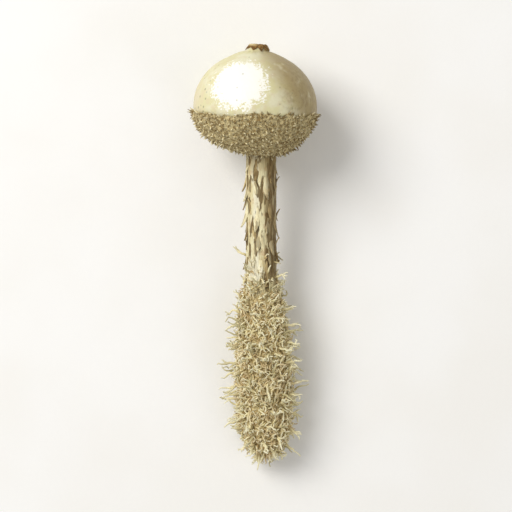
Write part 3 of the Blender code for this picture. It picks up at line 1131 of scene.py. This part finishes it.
@dataclass(frozen=True)
class ScaleFinish:
    """Cream flakes with a few brown ones, with painted shade on the stem's dark right side and the painted
    shadow dashes over them.
    """

    cream: Colour = shade(248, 240, 200)
    tan: Colour = shade(206, 182, 128)
    brown_from: float = 0.75

    def material(self) -> bpy.types.Material:
        """Builds the material.

        Returns:
            The material.
        """
        paint = Paint("cream_flakes", roughness=0.65, specular=0.25)
        tint = paint.attribute("tint")
        fibres = paint.fibres(0.14, 10.0, 0.4, 0.65)
        colour = paint.layered(
            self.cream,
            (paint.ramp(tint, 0.3, self.brown_from), self.tan, 0.9),
            (paint.maths("GREATER_THAN", tint, self.brown_from), STEM_BROWN, 0.85),
            # Painted shade on the right, as on the stem.
            (paint.rightwards(1.2, 2.2), STEM_BROWN, 0.7),
            # Painted shadows under scale edges, carried on over the flakes.
            (paint.dashes(), STEM_BROWN, 0.6),
            (paint.near(PALE_FOOT), STEM_WHITE, 0.9),
            (fibres, self.tan, 0.5),
        )
        return paint.finish(colour, fibres, depth=0.00004)


@dataclass(frozen=True)
class GroundFinish:
    """Near-white, even paper."""

    white: Colour = shade(250, 250, 249)
    warm: Colour = shade(247, 246, 243)

    def material(self) -> bpy.types.Material:
        """Builds the material.

        Returns:
            The material.
        """
        paint = Paint("white_ground", roughness=0.9, specular=0.1)
        colour = paint.layered(self.white, (paint.clouds(20.0, 0.3, 0.7), self.warm, 1.0))
        return paint.finish(colour, paint.mask(paint.effects.grain, Size=0.5), depth=0.00001)


@dataclass
class SporeSac:
    """The smooth closed head, drawn up into a low cone with a short neck round its mouth."""

    radius: float = 0.00925
    rise: float = 0.0086
    power: float = 2.15
    drop: float = 0.0070
    covered: float = 0.0009
    inset: float = 0.0007
    inset_by: float = 0.35
    cone_radius: float = 0.0046
    cone_rise: float = 0.00022
    neck_radius: float = 0.00112
    neck_foot_radius: float = 0.00185
    neck_rise: float = 0.00075
    pore_radius: float = 0.0006
    pore_depth: float = 0.0014
    pore_floor: float = 0.7
    pore_wall: float = 0.6
    lip_round: float = 0.0001
    dents: tuple[Ripple, ...] = (Ripple(0.06, 0.25), Ripple(0.02, 0.9, offset=(7, 1, 3)))
    pleats: int = 13
    pleat_sway: Ripple = Ripple(2.5, 0.7)
    pleat_depth_mm: float = 0.04
    pleats_at_mm: float = 2.2
    pleats_over_mm: float = 1.2
    segments: int = 144
    neck_rows: int = 12
    dome_rows: int = 52
    first_step_degrees: float = 1.5
    belly_rows: int = 16

    def dome(self, radius: float) -> float:
        """Height of the plain dome above the equator."""
        return self.rise * max(0.0, 1 - (radius / self.radius) ** 2) ** (1 / self.power)

    def top(self, radius: float) -> float:
        """Height of the dome with its cone and its neck.

        Args:
            radius: How far from the head's axis.

        Returns:
            The height above the equator.
        """
        outside = radius - self.neck_radius
        cone = 1 - smoothstep(outside / (self.cone_radius - self.neck_radius))
        neck = 1 - smoothstep(outside / (self.neck_foot_radius - self.neck_radius))
        return self.dome(radius) + self.cone_rise * cone + self.neck_rise * neck**1.3

    def rows(self) -> Rows:
        """The profile, from the bottom of the pore over the dome to the bottom of the head.

        Returns:
            The (radius, height) pairs.
        """
        lip = self.top(self.pore_radius)
        floor = lip - self.pore_depth
        wall = [lip - self.pore_depth * self.pore_wall, lip - self.lip_round]
        rows = [(0.0, floor), (self.pore_radius * self.pore_floor, floor)]
        rows += [(self.pore_radius, height) for height in wall]
        for i in range(self.neck_rows):
            share = i / (self.neck_rows - 1)
            radius = self.pore_radius + self.lip_round + (self.neck_foot_radius - self.pore_radius) * share
            rows.append((radius, self.top(radius)))
        first = math.degrees(math.asin(rows[-1][0] / self.radius)) + self.first_step_degrees
        for i in range(self.dome_rows):
            angle = first + (90 - first) * i / (self.dome_rows - 1)
            radius = self.radius * math.sin(math.radians(angle))
            rows.append((radius, self.top(radius)))
        for i in range(1, self.belly_rows):
            angle = math.pi / 2 * i / self.belly_rows
            radius = self.radius - self.inset * smoothstep(angle / self.inset_by)
            rows.append((radius * math.cos(angle), (self.covered - self.drop) * math.sin(angle)))
        return rows + [(0.0, self.covered - self.drop)]

    def relief(self, mm: Vector) -> float:
        """Shallow dents, and pleats that draw together towards the mouth.

        Args:
            mm: A point of the head, in millimetres.

        Returns:
            How far it moves out, in millimetres.
        """
        away = (math.hypot(mm.x, mm.y) - self.pleats_at_mm) / self.pleats_over_mm
        turn = self.pleats * math.atan2(mm.y, mm.x) + self.pleat_sway.at(mm)
        pleats = math.sin(turn) * math.exp(-(away**2))
        return rippled(mm, self.dents) + self.pleat_depth_mm * pleats * (mm.z > 0)

    def build(self) -> None:
        """Builds and dresses the head."""
        mesh = Turned("spore_sac_skin", self.rows(), self.segments).mesh(around_axis)
        emboss(mesh, self.relief)
        stand_in(mesh, "papery_sac", SacFinish().material(), Part.SAC, POSTURE.head())


@dataclass
class MouthCrown:
    """The brown ring round the mouth, whose ragged teeth hang over the neck."""

    sac: SporeSac
    inner_radius: float = 0.00068
    crest_radius: float = 0.00112
    tip_radius: float = 0.00178
    crest_rise: float = 0.00014
    lip: float = 0.3
    lip_drop: float = 0.00022
    tip_rise: float = 0.00012
    thickness: float = 0.0002
    crumple: float = 0.00006
    notch: float = 0.42
    teeth: int = 11
    levels: int = 10
    segments: int = 240
    seed: int = 5

    def tooth(self, azimuth: float) -> float:
        """How far the ragged edge hangs.

        Args:
            azimuth: The angle round the mouth.

        Returns:
            0 in a notch and about 1 at a tip.
        """
        draw = random.Random(self.seed)
        lengths = [draw.uniform(0.6, 1.12) for _ in range(self.teeth)]
        turn = azimuth * self.teeth / (2 * math.pi) + 0.3 * math.sin(2 * azimuth + 1.0)
        peak = 1 - abs(2 * (turn % 1.0) - 1)
        return lengths[int(turn) % self.teeth] * peak**1.15

    def form(self, level: float, azimuth: float, side: float) -> Vector:
        """A point of the ring.

        Args:
            level: 0 to 1 from the mouth's inner lip over the crest to the teeth's tips.
            azimuth: The angle round the mouth.
            side: 1 on the outer face and 0 on the face against the neck.

        Returns:
            The point, in the head's frame.
        """
        crumple = noise.noise(Vector((math.cos(azimuth) * 3.5, math.sin(azimuth) * 3.5, level * 3)))
        crest = self.sac.top(self.crest_radius) + self.crest_rise + self.crumple * crumple
        if level < self.lip:
            share = level / self.lip
            radius = self.inner_radius + (self.crest_radius - self.inner_radius) * share
            height = crest - self.lip_drop * (1 - share) ** 2
        else:
            hang = self.notch + (1 - self.notch) * self.tooth(azimuth)
            share = (level - self.lip) / (1 - self.lip) * hang
            radius = self.crest_radius + (self.tip_radius - self.crest_radius) * share**0.85
            foot = self.sac.top(self.tip_radius) + self.tip_rise
            height = crest - (crest - foot) * share**1.1
        wall = self.thickness * (1 - 0.45 * level) * (1 + 0.3 * crumple)
        outward = math.sin(math.pi / 2 * min(level / 0.5, 1.0)) * 0.75
        radius += wall * outward * side
        height += wall * (1 - 0.5 * outward) * (side - 0.6)
        return around_axis(radius, azimuth, height)

    def build(self) -> None:
        """Builds and dresses the ring."""
        levels = [max(i / self.levels, NEARLY_NONE) for i in range(self.levels + 1)]
        ring = [(level, 1.0) for level in levels] + [(level, 0.0) for level in reversed(levels)]
        mesh = Turned("mouth_ring", ring, self.segments, looped=True).mesh(self.form)
        stand_in(mesh, "toothed_mouth", CrownFinish().material(), Part.CROWN, POSTURE.head())


@dataclass
class OuterSkin:
    """The brown bristly cup under the head."""

    strands: StrandTree
    radius: float = 0.00935
    drop: float = 0.0070
    thickness: float = 0.0006
    hole_radius: float = 0.0025
    rim: float = -0.0002
    rim_wave: float = 0.00045
    rim_sag: float = 0.0005
    rim_band: float = 0.0017
    tuft: float = 0.4
    tuft_from: float = 0.006
    tuft_over: float = 0.003
    lumps: tuple[Ripple, ...] = (Ripple(0.10, 1.3), Ripple(0.07, 3.1))
    segments: int = 180
    rows: int = 44
    felt_finish: FeltFinish = FeltFinish(
        "brown_felt",
        base=shade(212, 194, 144),
        dark=shade(134, 108, 62),
        light=shade(226, 212, 166),
        curl_size=0.5,
    )
    spine_finish: StrandFinish = StrandFinish(
        "spine_brown",
        root=shade(176, 154, 102),
        middle=shade(238, 224, 178),
        tip=shade(250, 243, 208),
        stain=shade(112, 86, 42),
        stain_share=0.25,
        pale_from=0.5,
        blotch_size=0.55,
        blotch=0.65,
        # Painted shade on the right side of the cup's spines.
        shaded=0.25,
    )
    spines: Strands = Strands(
        seed=3,
        spacing=0.00056,
        length=0.00064,
        length_spread=0.45,
        root_radius=0.00017,
        tip_share=0.15,
        disorder=0.6,
        crownward=0.9,
        curl=0.00012,
        curl_turns=2.0,
        sunk=0.0001,
        joints=4,
        sides=5,
    )

    def form(self, share: float, azimuth: float, side: float) -> Vector:
        """A point of the cup.

        Args:
            share: 0 at the rim to 1 at the stem's hole.
            azimuth: The angle round the head's axis.
            side: 0 on the outside to 1 on the inside.

        Returns:
            The point, in the head's frame.
        """
        angle = math.acos(self.hole_radius / self.radius) * share
        wall = self.thickness * smoothstep(0.15 + share * 4) * side
        radius = self.radius * math.cos(angle) - wall * math.cos(share * 1.2)
        height = -self.drop * math.sin(angle) + wall * math.sin(share * 1.2)
        spot = Vector((math.cos(azimuth) * 9, math.sin(azimuth) * 9, 0))
        ragged = noise.noise(spot * 0.5) + 0.7 * noise.noise(spot * 1.7)
        at_left = smoothstep(0.3 - math.cos(azimuth))
        rim = self.rim + self.rim_wave * ragged - self.rim_sag * at_left
        height += rim * (1 - smoothstep(share * 5))
        centre = POSTURE.socket_shift(self.drop) * smoothstep((share - 0.5) * 2)
        return Vector((centre + radius * math.cos(azimuth), radius * math.sin(azimuth), height))

    def relief(self, mm: Vector) -> float:
        """The felt's lumps, in millimetres."""
        return rippled(mm, self.lumps)

    def at_rim(self, place: Vector) -> float:
        """1 at the rim and 0 below the band along it."""
        return 1 - smoothstep(-place.z / self.rim_band)

    def reach(self, place: Vector) -> float:
        """How long the spines are: longest at the rim, most of all on the left."""
        at_left = smoothstep((-place.x - self.tuft_from) / self.tuft_over)
        return 0.85 + self.at_rim(place) * (0.15 + self.tuft * at_left)

    def build(self) -> None:
        """Builds and dresses the cup and its spines."""
        shares = [max(i / self.rows, NEARLY_NONE) for i in range(self.rows + 1)]
        outside = [(share, 0.0) for share in shares]
        inside = [(share, 1.0) for share in reversed(shares[::3])]
        felt = Turned("skin_felt", outside + inside, self.segments, looped=True).mesh(self.form)
        emboss(felt, self.relief)
        stand_in(felt, "bristly_cup", self.felt_finish.material(), Part.SKIN, POSTURE.head())
        bed = Turned("spine_bed", outside, self.segments).mesh(self.form)
        mark(bed, "cover", lambda place: 1.0)
        mark(bed, "reach", self.reach)
        mark(bed, "lean", self.at_rim)
        emboss(bed, self.relief)
        bed.transform(POSTURE.head())
        sizes = asdict(self.spines) | {"material": self.spine_finish.material()}
        hand_over(self.strands.grow("cup_spines", bed, sizes), Part.SKIN)


@dataclass
class Stem:
    """The scaly, fibrous column."""

    radius: float = 0.0023
    top: float = 0.0490
    foot: float = 0.0028
    foot_radius: float = 0.0017
    wool_rim: float = 0.0251
    into_wool: float = 0.0008
    settled_mm: float = 0.04
    grooves: tuple[Ripple, ...] = (
        Ripple(0.10, 0.9, 0.16),
        Ripple(0.05, 2.6, 0.16, (3, 0, 5)),
        Ripple(0.03, 6.0, 0.07),
    )
    torn: Ripple = Ripple(4.0, 1.5, 0.3)
    torn_depth_mm: float = 0.05
    segments: int = 96
    fine_rows: int = 82
    fine_step: float = 0.0003
    coarse_rows: int = 18
    coarse_step: float = 0.0012

    def girth(self, height: float) -> float:
        """The plain radius at a height."""
        share = smoothstep((height - self.foot) / (self.wool_rim - self.foot))
        return self.foot_radius + (self.radius - self.foot_radius) * share

    def form(self, radius: float, azimuth: float, height: float) -> Vector:
        """A point of the column, on its own bent axis."""
        return around_axis(radius, azimuth, height) + Vector((POSTURE.stem_shift(height), 0, 0))

    def relief(self, mm: Vector) -> float:
        """Grooves and torn fibres that run along the stem, in millimetres."""
        torn = self.torn_depth_mm * smoothstep(self.torn.at(mm))
        return rippled(mm, self.grooves) + torn - self.settled_mm

    def build(self) -> None:
        """Builds and dresses the column: fine rows where it is bare, coarse ones in the wool."""
        heights = [self.top - self.fine_step * i for i in range(self.fine_rows)]
        below_rim = self.wool_rim - self.into_wool
        heights += [below_rim - self.coarse_step * i for i in range(self.coarse_rows)]
        rows = [(0.0, self.top)] + [(self.girth(h), h) for h in heights] + [(0.0, heights[-1])]
        column = Turned("stem_column", rows, self.segments).mesh(self.form)
        emboss(column, self.relief)
        stand_in(column, "fibrous_stem", StemFinish().material(), Part.STEM, POSTURE.lying())


@dataclass(frozen=True)
class LooseScale:
    """One big scale that peels off the stem's side. Angles are in degrees."""

    azimuth: float
    height: float
    length: float
    width: float
    lift: float
    twist: float

    def matrix(self, stem: Stem) -> Matrix:
        """Lays the unit scale on the stem, its tip up and then turned by the twist.

        Args:
            stem: The stem.

        Returns:
            The matrix, in the upright fungus.
        """
        azimuth = math.radians(self.azimuth)
        place = stem.form(stem.girth(self.height), azimuth, self.height)
        facing = Matrix.Rotation(azimuth + math.pi / 2, 4, "Z") @ Matrix.Rotation(math.pi / 2, 4, "X")
        turned = facing @ Matrix.Rotation(math.radians(self.twist), 4, "Z")
        size = Matrix.Diagonal((self.width, self.length, self.lift, 1.0))
        return Matrix.Translation(place) @ turned @ size


@dataclass
class StemScales:
    """Flat scales that lift at their tips, all up the bare stem, and a few that peel off."""

    stem: Stem
    spacing: float = 0.0016
    length: float = 0.0028
    lowest: float = 0.0263
    highest: float = 0.0445
    fade: float = 0.001
    bed_rows: int = 46
    bed_step: float = 0.0004
    flake_columns: int = 4
    flake_rows: int = 6
    flake_half_width: float = 0.17
    flake_half_wall: float = 0.034
    flake_root: float = 0.4
    flake_lift: float = 0.14
    flake_sunk: float = 0.055
    flake_camber: float = 0.02
    seed: int = 8
    loose: tuple[LooseScale, ...] = (
        LooseScale(190, 0.0372, 0.0040, 0.0052, 0.0070, 176),
        LooseScale(200, 0.0405, 0.0030, 0.0034, 0.0050, 178),
        LooseScale(-2, 0.0414, 0.0017, 0.0020, 0.0045, 4),
        LooseScale(4, 0.0362, 0.0022, 0.0026, 0.0055, -6),
        LooseScale(-6, 0.0322, 0.0018, 0.0020, 0.0045, 3),
        LooseScale(-96, 0.0332, 0.0032, 0.0030, 0.0045, 172),
        LooseScale(-70, 0.0412, 0.0034, 0.0032, 0.0040, 184),
        LooseScale(70, 0.0380, 0.0032, 0.0030, 0.0045, 176),
        LooseScale(120, 0.0340, 0.0030, 0.0030, 0.0050, 186),
    )

    def flake_point(self, row: int, column: int, side: int) -> Point:
        """A point of the unit scale.

        Args:
            row: From its root at 0 to its tip.
            column: From its left edge at 0 to its right edge.
            side: 1 on its outer face and -1 on its inner face.

        Returns:
            The point: the root is at -Y, the tip at +Y and the outer face at +Z.
        """
        along = row / self.flake_rows
        across = 2 * column / self.flake_columns - 1
        half_width = self.flake_half_width * (0.75 + 0.9 * along * (1 - along)) * (1 - 0.8 * along**4)
        lift = self.flake_lift * along**2.2 - self.flake_sunk + self.flake_camber * (1 - across**2)
        half_wall = self.flake_half_wall * (1 - 0.6 * along) * (1 - 0.7 * across**4)
        return (across * half_width, along - self.flake_root, lift + side * half_wall)

    def flake(self) -> bpy.types.Object:
        """Makes the unit scale.

        Returns:
            An object that isn't in the scene, as the scales' pattern.
        """
        bm = bmesh.new()
        rows, columns = range(self.flake_rows + 1), range(self.flake_columns + 1)
        below, above = (
            [[bm.verts.new(self.flake_point(j, i, side)) for i in columns] for j in rows] for side in (-1, 1)
        )
        for j in rows[:-1]:
            for i in columns[:-1]:
                for grid, step in ((below, -1), (above, 1)):
                    corners = [grid[j][i], grid[j][i + 1], grid[j + 1][i + 1], grid[j + 1][i]]
                    bm.faces.new(corners[::step])
        edge = [(0, i) for i in columns] + [(j, self.flake_columns) for j in rows[1:]]
        edge += [(self.flake_rows, i) for i in columns[-2::-1]] + [(j, 0) for j in rows[-2:0:-1]]
        for (j0, i0), (j1, i1) in zip(edge, edge[1:] + edge[:1]):
            bm.faces.new((below[j0][i0], below[j1][i1], above[j1][i1], above[j0][i0]))
        mesh = bpy.data.meshes.new("scale_pattern")
        bm.to_mesh(mesh)
        bm.free()
        return bpy.data.objects.new("scale_pattern", mesh)

    def peeling(self, pattern: bpy.types.Object) -> bpy.types.Mesh:
        """Makes the loose scales.

        Args:
            pattern: The unit scale.

        Returns:
            All of them as one mesh, on the lying stem.
        """
        bm = bmesh.new()
        for scale in self.loose:
            first = len(bm.verts)
            bm.from_mesh(pattern.data)
            bm.verts.ensure_lookup_table()
            bmesh.ops.transform(bm, matrix=scale.matrix(self.stem), verts=bm.verts[first:])
        mesh = bpy.data.meshes.new("loose_scales")
        bm.to_mesh(mesh)
        bm.free()
        mesh.transform(POSTURE.lying())
        mesh.shade_smooth()
        return mesh

    def build(self) -> None:
        """Builds and dresses the scales."""
        heights = [self.highest - self.bed_step * i for i in range(self.bed_rows)]
        rows = [(self.stem.girth(h), h) for h in heights]
        bed = Turned("scale_bed", rows, self.stem.segments).mesh(self.stem.form)
        mark(bed, "cover", lambda place: smoothstep((place.z - self.lowest) / self.fade))
        bed.transform(POSTURE.lying())
        pattern = self.flake()
        finish = ScaleFinish().material()
        sizes = {"spacing": self.spacing, "length": self.length, "seed": self.seed}
        sizes |= {"pattern": pattern, "material": finish}
        hand_over(ScaleTree().grow("stem_scales", bed, sizes), Part.STEM)
        hand_over(piece_of(self.peeling(pattern), "peeling_scales", finish), Part.STEM)
        bpy.data.objects.remove(pattern)


@dataclass
class BaseWool:
    """The felt sheath round the foot of the stem, with its curly wool."""

    stem: Stem
    strands: StrandTree
    radius: float = 0.00372
    rim_radius: float = 0.0028
    rim_height: float = 0.0251
    waist_height: float = 0.0120
    foot_round: float = 0.0070
    collar: float = 0.0016
    straggle_height: float = 0.0305
    tongue_pitch: float = 900.0
    tongue_drop: float = 0.0030
    tongue_height: float = 0.0044
    thinning_height: float = 0.0060
    shorter_over: float = 0.004
    upward_from: float = 0.019
    turning_height: float = 0.006
    tangle_thinning: float = 0.93
    shag_thinning: float = 0.6
    lumps: tuple[Ripple, ...] = (Ripple(0.18, 0.6), Ripple(0.12, 1.7))
    segments: int = 110
    rows: int = 96
    bed_segments: int = 64
    bed_rows: int = 64
    felt_finish: FeltFinish = FeltFinish(
        "tan_felt",
        base=shade(222, 204, 152),
        dark=shade(158, 132, 82),
        light=shade(246, 238, 198),
        curl_size=0.6,
        bare_from=23.5,
    )
    tangle_finish: StrandFinish = StrandFinish(
        "tangle_tan",
        root=shade(180, 158, 104),
        middle=shade(248, 237, 188),
        tip=shade(252, 247, 216),
        stain=shade(206, 176, 126),
        stain_share=0.3,
    )
    tangle: Strands = Strands(
        seed=21,
        spacing=0.00036,
        length=0.0015,
        length_spread=0.35,
        root_radius=0.00015,
        tip_share=0.55,
        outward=0.3,
        disorder=1.0,
        flatness=0.85,
        crownward=0.3,
        curl=0.00055,
        curl_turns=2.8,
        sunk=0.00002,
        joints=6,
        sides=4,
    )
    shag_finish: StrandFinish = StrandFinish(
        "shag_cream",
        root=shade(178, 156, 104),
        middle=shade(242, 231, 184),
        tip=shade(248, 243, 212),
        stain=shade(184, 174, 130),
        stain_share=0.35,
    )
    shag: Strands = Strands(
        seed=34,
        spacing=0.00148,
        length=0.0029,
        length_spread=0.3,
        root_radius=0.0002,
        tip_share=0.45,
        disorder=0.5,
        crownward=0.5,
        curl=0.0012,
        curl_turns=2.6,
        sunk=0.0003,
        joints=10,
        sides=6,
        fork_share=1.2,
    )

    def girth(self, height: float) -> float:
        """Radius of the felt, and of the bare stem above it.

        Args:
            height: How high above the foot.

        Returns:
            The radius.
        """
        if height < self.foot_round:
            return self.radius * math.sqrt(max(0.0, 1 - ((self.foot_round - height) / self.foot_round) ** 2))
        waist = smoothstep((height - self.waist_height) / (self.rim_height - self.waist_height))
        felt = self.radius + (self.rim_radius - self.radius) * waist
        bare = smoothstep((height - self.rim_height + self.collar) / (2 * self.collar))
        return felt + (self.stem.girth(height) - felt) * bare

    def relief(self, mm: Vector) -> float:
        """The felt's lumps and hollows, in millimetres."""
        return rippled(mm, self.lumps)

    def rows_from(self, highest: float, steps: int) -> Rows:
        """The felt's profile, from a height down to the pole at the foot, in so many steps."""
        heights = [highest * (1 - i / steps) for i in range(steps)]
        return [(self.girth(height), height) for height in heights] + [(0.0, 0.0)]

    def surface(self, name: str, rows: Rows, segments: int) -> bpy.types.Mesh:
        """The lumpy surface on a profile.

        Args:
            name: The mesh's name.
            rows: The profile.
            segments: How many columns it has.

        Returns:
            The upright mesh.
        """
        mesh = Turned(name, rows, segments).mesh(self.stem.form)
        emboss(mesh, self.relief)
        return mesh

    def cover(self, place: Vector, thinning: float) -> float:
        """How much of the bed bears wool: all of it, up to tongues that run up the stem.

        Args:
            place: A point of the bed.
            thinning: The share that is lost above the tongues.

        Returns:
            The share that bears wool.
        """
        around = Vector((place.x, place.y, 0)) * self.tongue_pitch
        edge = self.rim_height - self.tongue_drop + self.tongue_height * noise.noise(around)
        return 1 - thinning * smoothstep((place.z - edge) / self.thinning_height)

    def reach(self, place: Vector) -> float:
        """How long the wool is: a little shorter from the rim up."""
        return 1 - 0.3 * smoothstep((place.z - self.rim_height + self.shorter_over) / self.shorter_over)

    def lean(self, place: Vector) -> float:
        """How far the strands point to the crown: upwards near the rim, downwards under the foot."""
        up = smoothstep((place.z - self.upward_from) / self.turning_height)
        return up - 0.9 * smoothstep((self.turning_height - place.z) / self.turning_height)

    def bed(self, name: str, thinning: float) -> bpy.types.Mesh:
        """The surface that the wool grows on: the felt and a stretch of bare stem above it.

        Args:
            name: The mesh's name.
            thinning: The share of the wool that is lost above its tongues.

        Returns:
            The mesh, on the lying fungus.
        """
        mesh = self.surface(name, self.rows_from(self.straggle_height, self.bed_rows), self.bed_segments)
        mark(mesh, "cover", lambda place: self.cover(place, thinning))
        mark(mesh, "reach", self.reach)
        mark(mesh, "lean", self.lean)
        mesh.transform(POSTURE.lying())
        return mesh

    def build(self) -> None:
        """Builds and dresses the felt and the wool."""
        top = self.rim_height + self.collar
        felt = self.surface("wool_felt", [(0.0, top)] + self.rows_from(top, self.rows), self.segments)
        stand_in(felt, "wool_sheath", self.felt_finish.material(), Part.WOOL, POSTURE.lying())
        growths = (
            ("wool_tangle", self.tangle_thinning, self.tangle, self.tangle_finish),
            ("wool_shag", self.shag_thinning, self.shag, self.shag_finish),
        )
        for name, thinning, strands, finish in growths:
            sizes = asdict(strands) | {"material": finish.material()}
            hand_over(self.strands.grow(name, self.bed(f"{name}_bed", thinning), sizes), Part.WOOL)


@dataclass(frozen=True)
class Lamp:
    """A square area lamp."""

    name: str
    place: Point
    size: float
    power: float
    colour: Point

    def hang(self, aim: Vector) -> None:
        """Adds the lamp to the scene.

        Args:
            aim: What it points at.
        """
        data = bpy.data.lights.new(self.name, "AREA")
        data.size = self.size
        data.energy = self.power
        data.color = self.colour
        lamp = bpy.data.objects.new(self.name, data)
        lamp.location = self.place
        lamp.rotation_euler = (aim - Vector(self.place)).to_track_quat("-Z", "Y").to_euler()
        bpy.context.scene.collection.objects.link(lamp)


@dataclass
class Studio:
    """White ground, soft lights and the camera straight above."""

    frame_width: float = 0.0768
    distance: float = 0.42
    sensor_mm: float = 36.0
    aim: Point = (0.00015, 0.0005, 0.008)
    ground_reach: float = 2.0
    sky: Colour = (1.0, 0.99, 0.975, 1.0)
    sky_strength: float = 0.41
    lamps: tuple[Lamp, ...] = (
        Lamp("key_lamp", place=(-0.30, 0.22, 0.42), size=0.30, power=2.3, colour=(1.0, 0.985, 0.96)),
        Lamp("fill_lamp", place=(0.35, -0.20, 0.40), size=0.5, power=0.5, colour=(1.0, 0.95, 0.86)),
    )

    def ground(self) -> None:
        """Lays the ground."""
        mesh = bpy.data.meshes.new("white_ground")
        far = self.ground_reach
        corners = [(-far, -far, 0), (far, -far, 0), (far, far, 0), (-far, far, 0)]
        mesh.from_pydata(corners, [], [(0, 1, 2, 3)])
        piece_of(mesh, "white_ground", GroundFinish().material())

    def world(self) -> None:
        """Lights the room evenly."""
        world = bpy.data.worlds.new("pale_room")
        world.use_nodes = True
        inputs = world.node_tree.nodes["Background"].inputs
        inputs["Color"].default_value = self.sky
        inputs["Strength"].default_value = self.sky_strength
        bpy.context.scene.world = world
        bpy.context.scene.view_settings.view_transform = "Standard"

    def camera(self) -> None:
        """Sets the camera, with a long lens, straight above the aim."""
        data = bpy.data.cameras.new("camera")
        data.lens = self.sensor_mm * self.distance / self.frame_width
        data.clip_start = 0.01
        camera = bpy.data.objects.new("camera", data)
        camera.location = Vector(self.aim) + Vector((0, 0, self.distance))
        bpy.context.scene.collection.objects.link(camera)
        bpy.context.scene.camera = camera

    def build(self) -> None:
        """Lays the ground, hangs the lamps and sets the camera."""
        self.ground()
        for lamp in self.lamps:
            lamp.hang(Vector(self.aim))
        self.world()
        self.camera()


def main() -> None:
    """Builds the fungus from its head to its foot, then the studio."""
    logging.basicConfig(level=logging.INFO, format="%(message)s")
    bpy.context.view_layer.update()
    strands = StrandTree()
    sac = SporeSac()
    stem = Stem()
    fungus = (sac, MouthCrown(sac), OuterSkin(strands), stem, StemScales(stem), BaseWool(stem, strands))
    for assembly in (*fungus, Studio()):
        assembly.build()


if __name__ == "__main__":
    main()
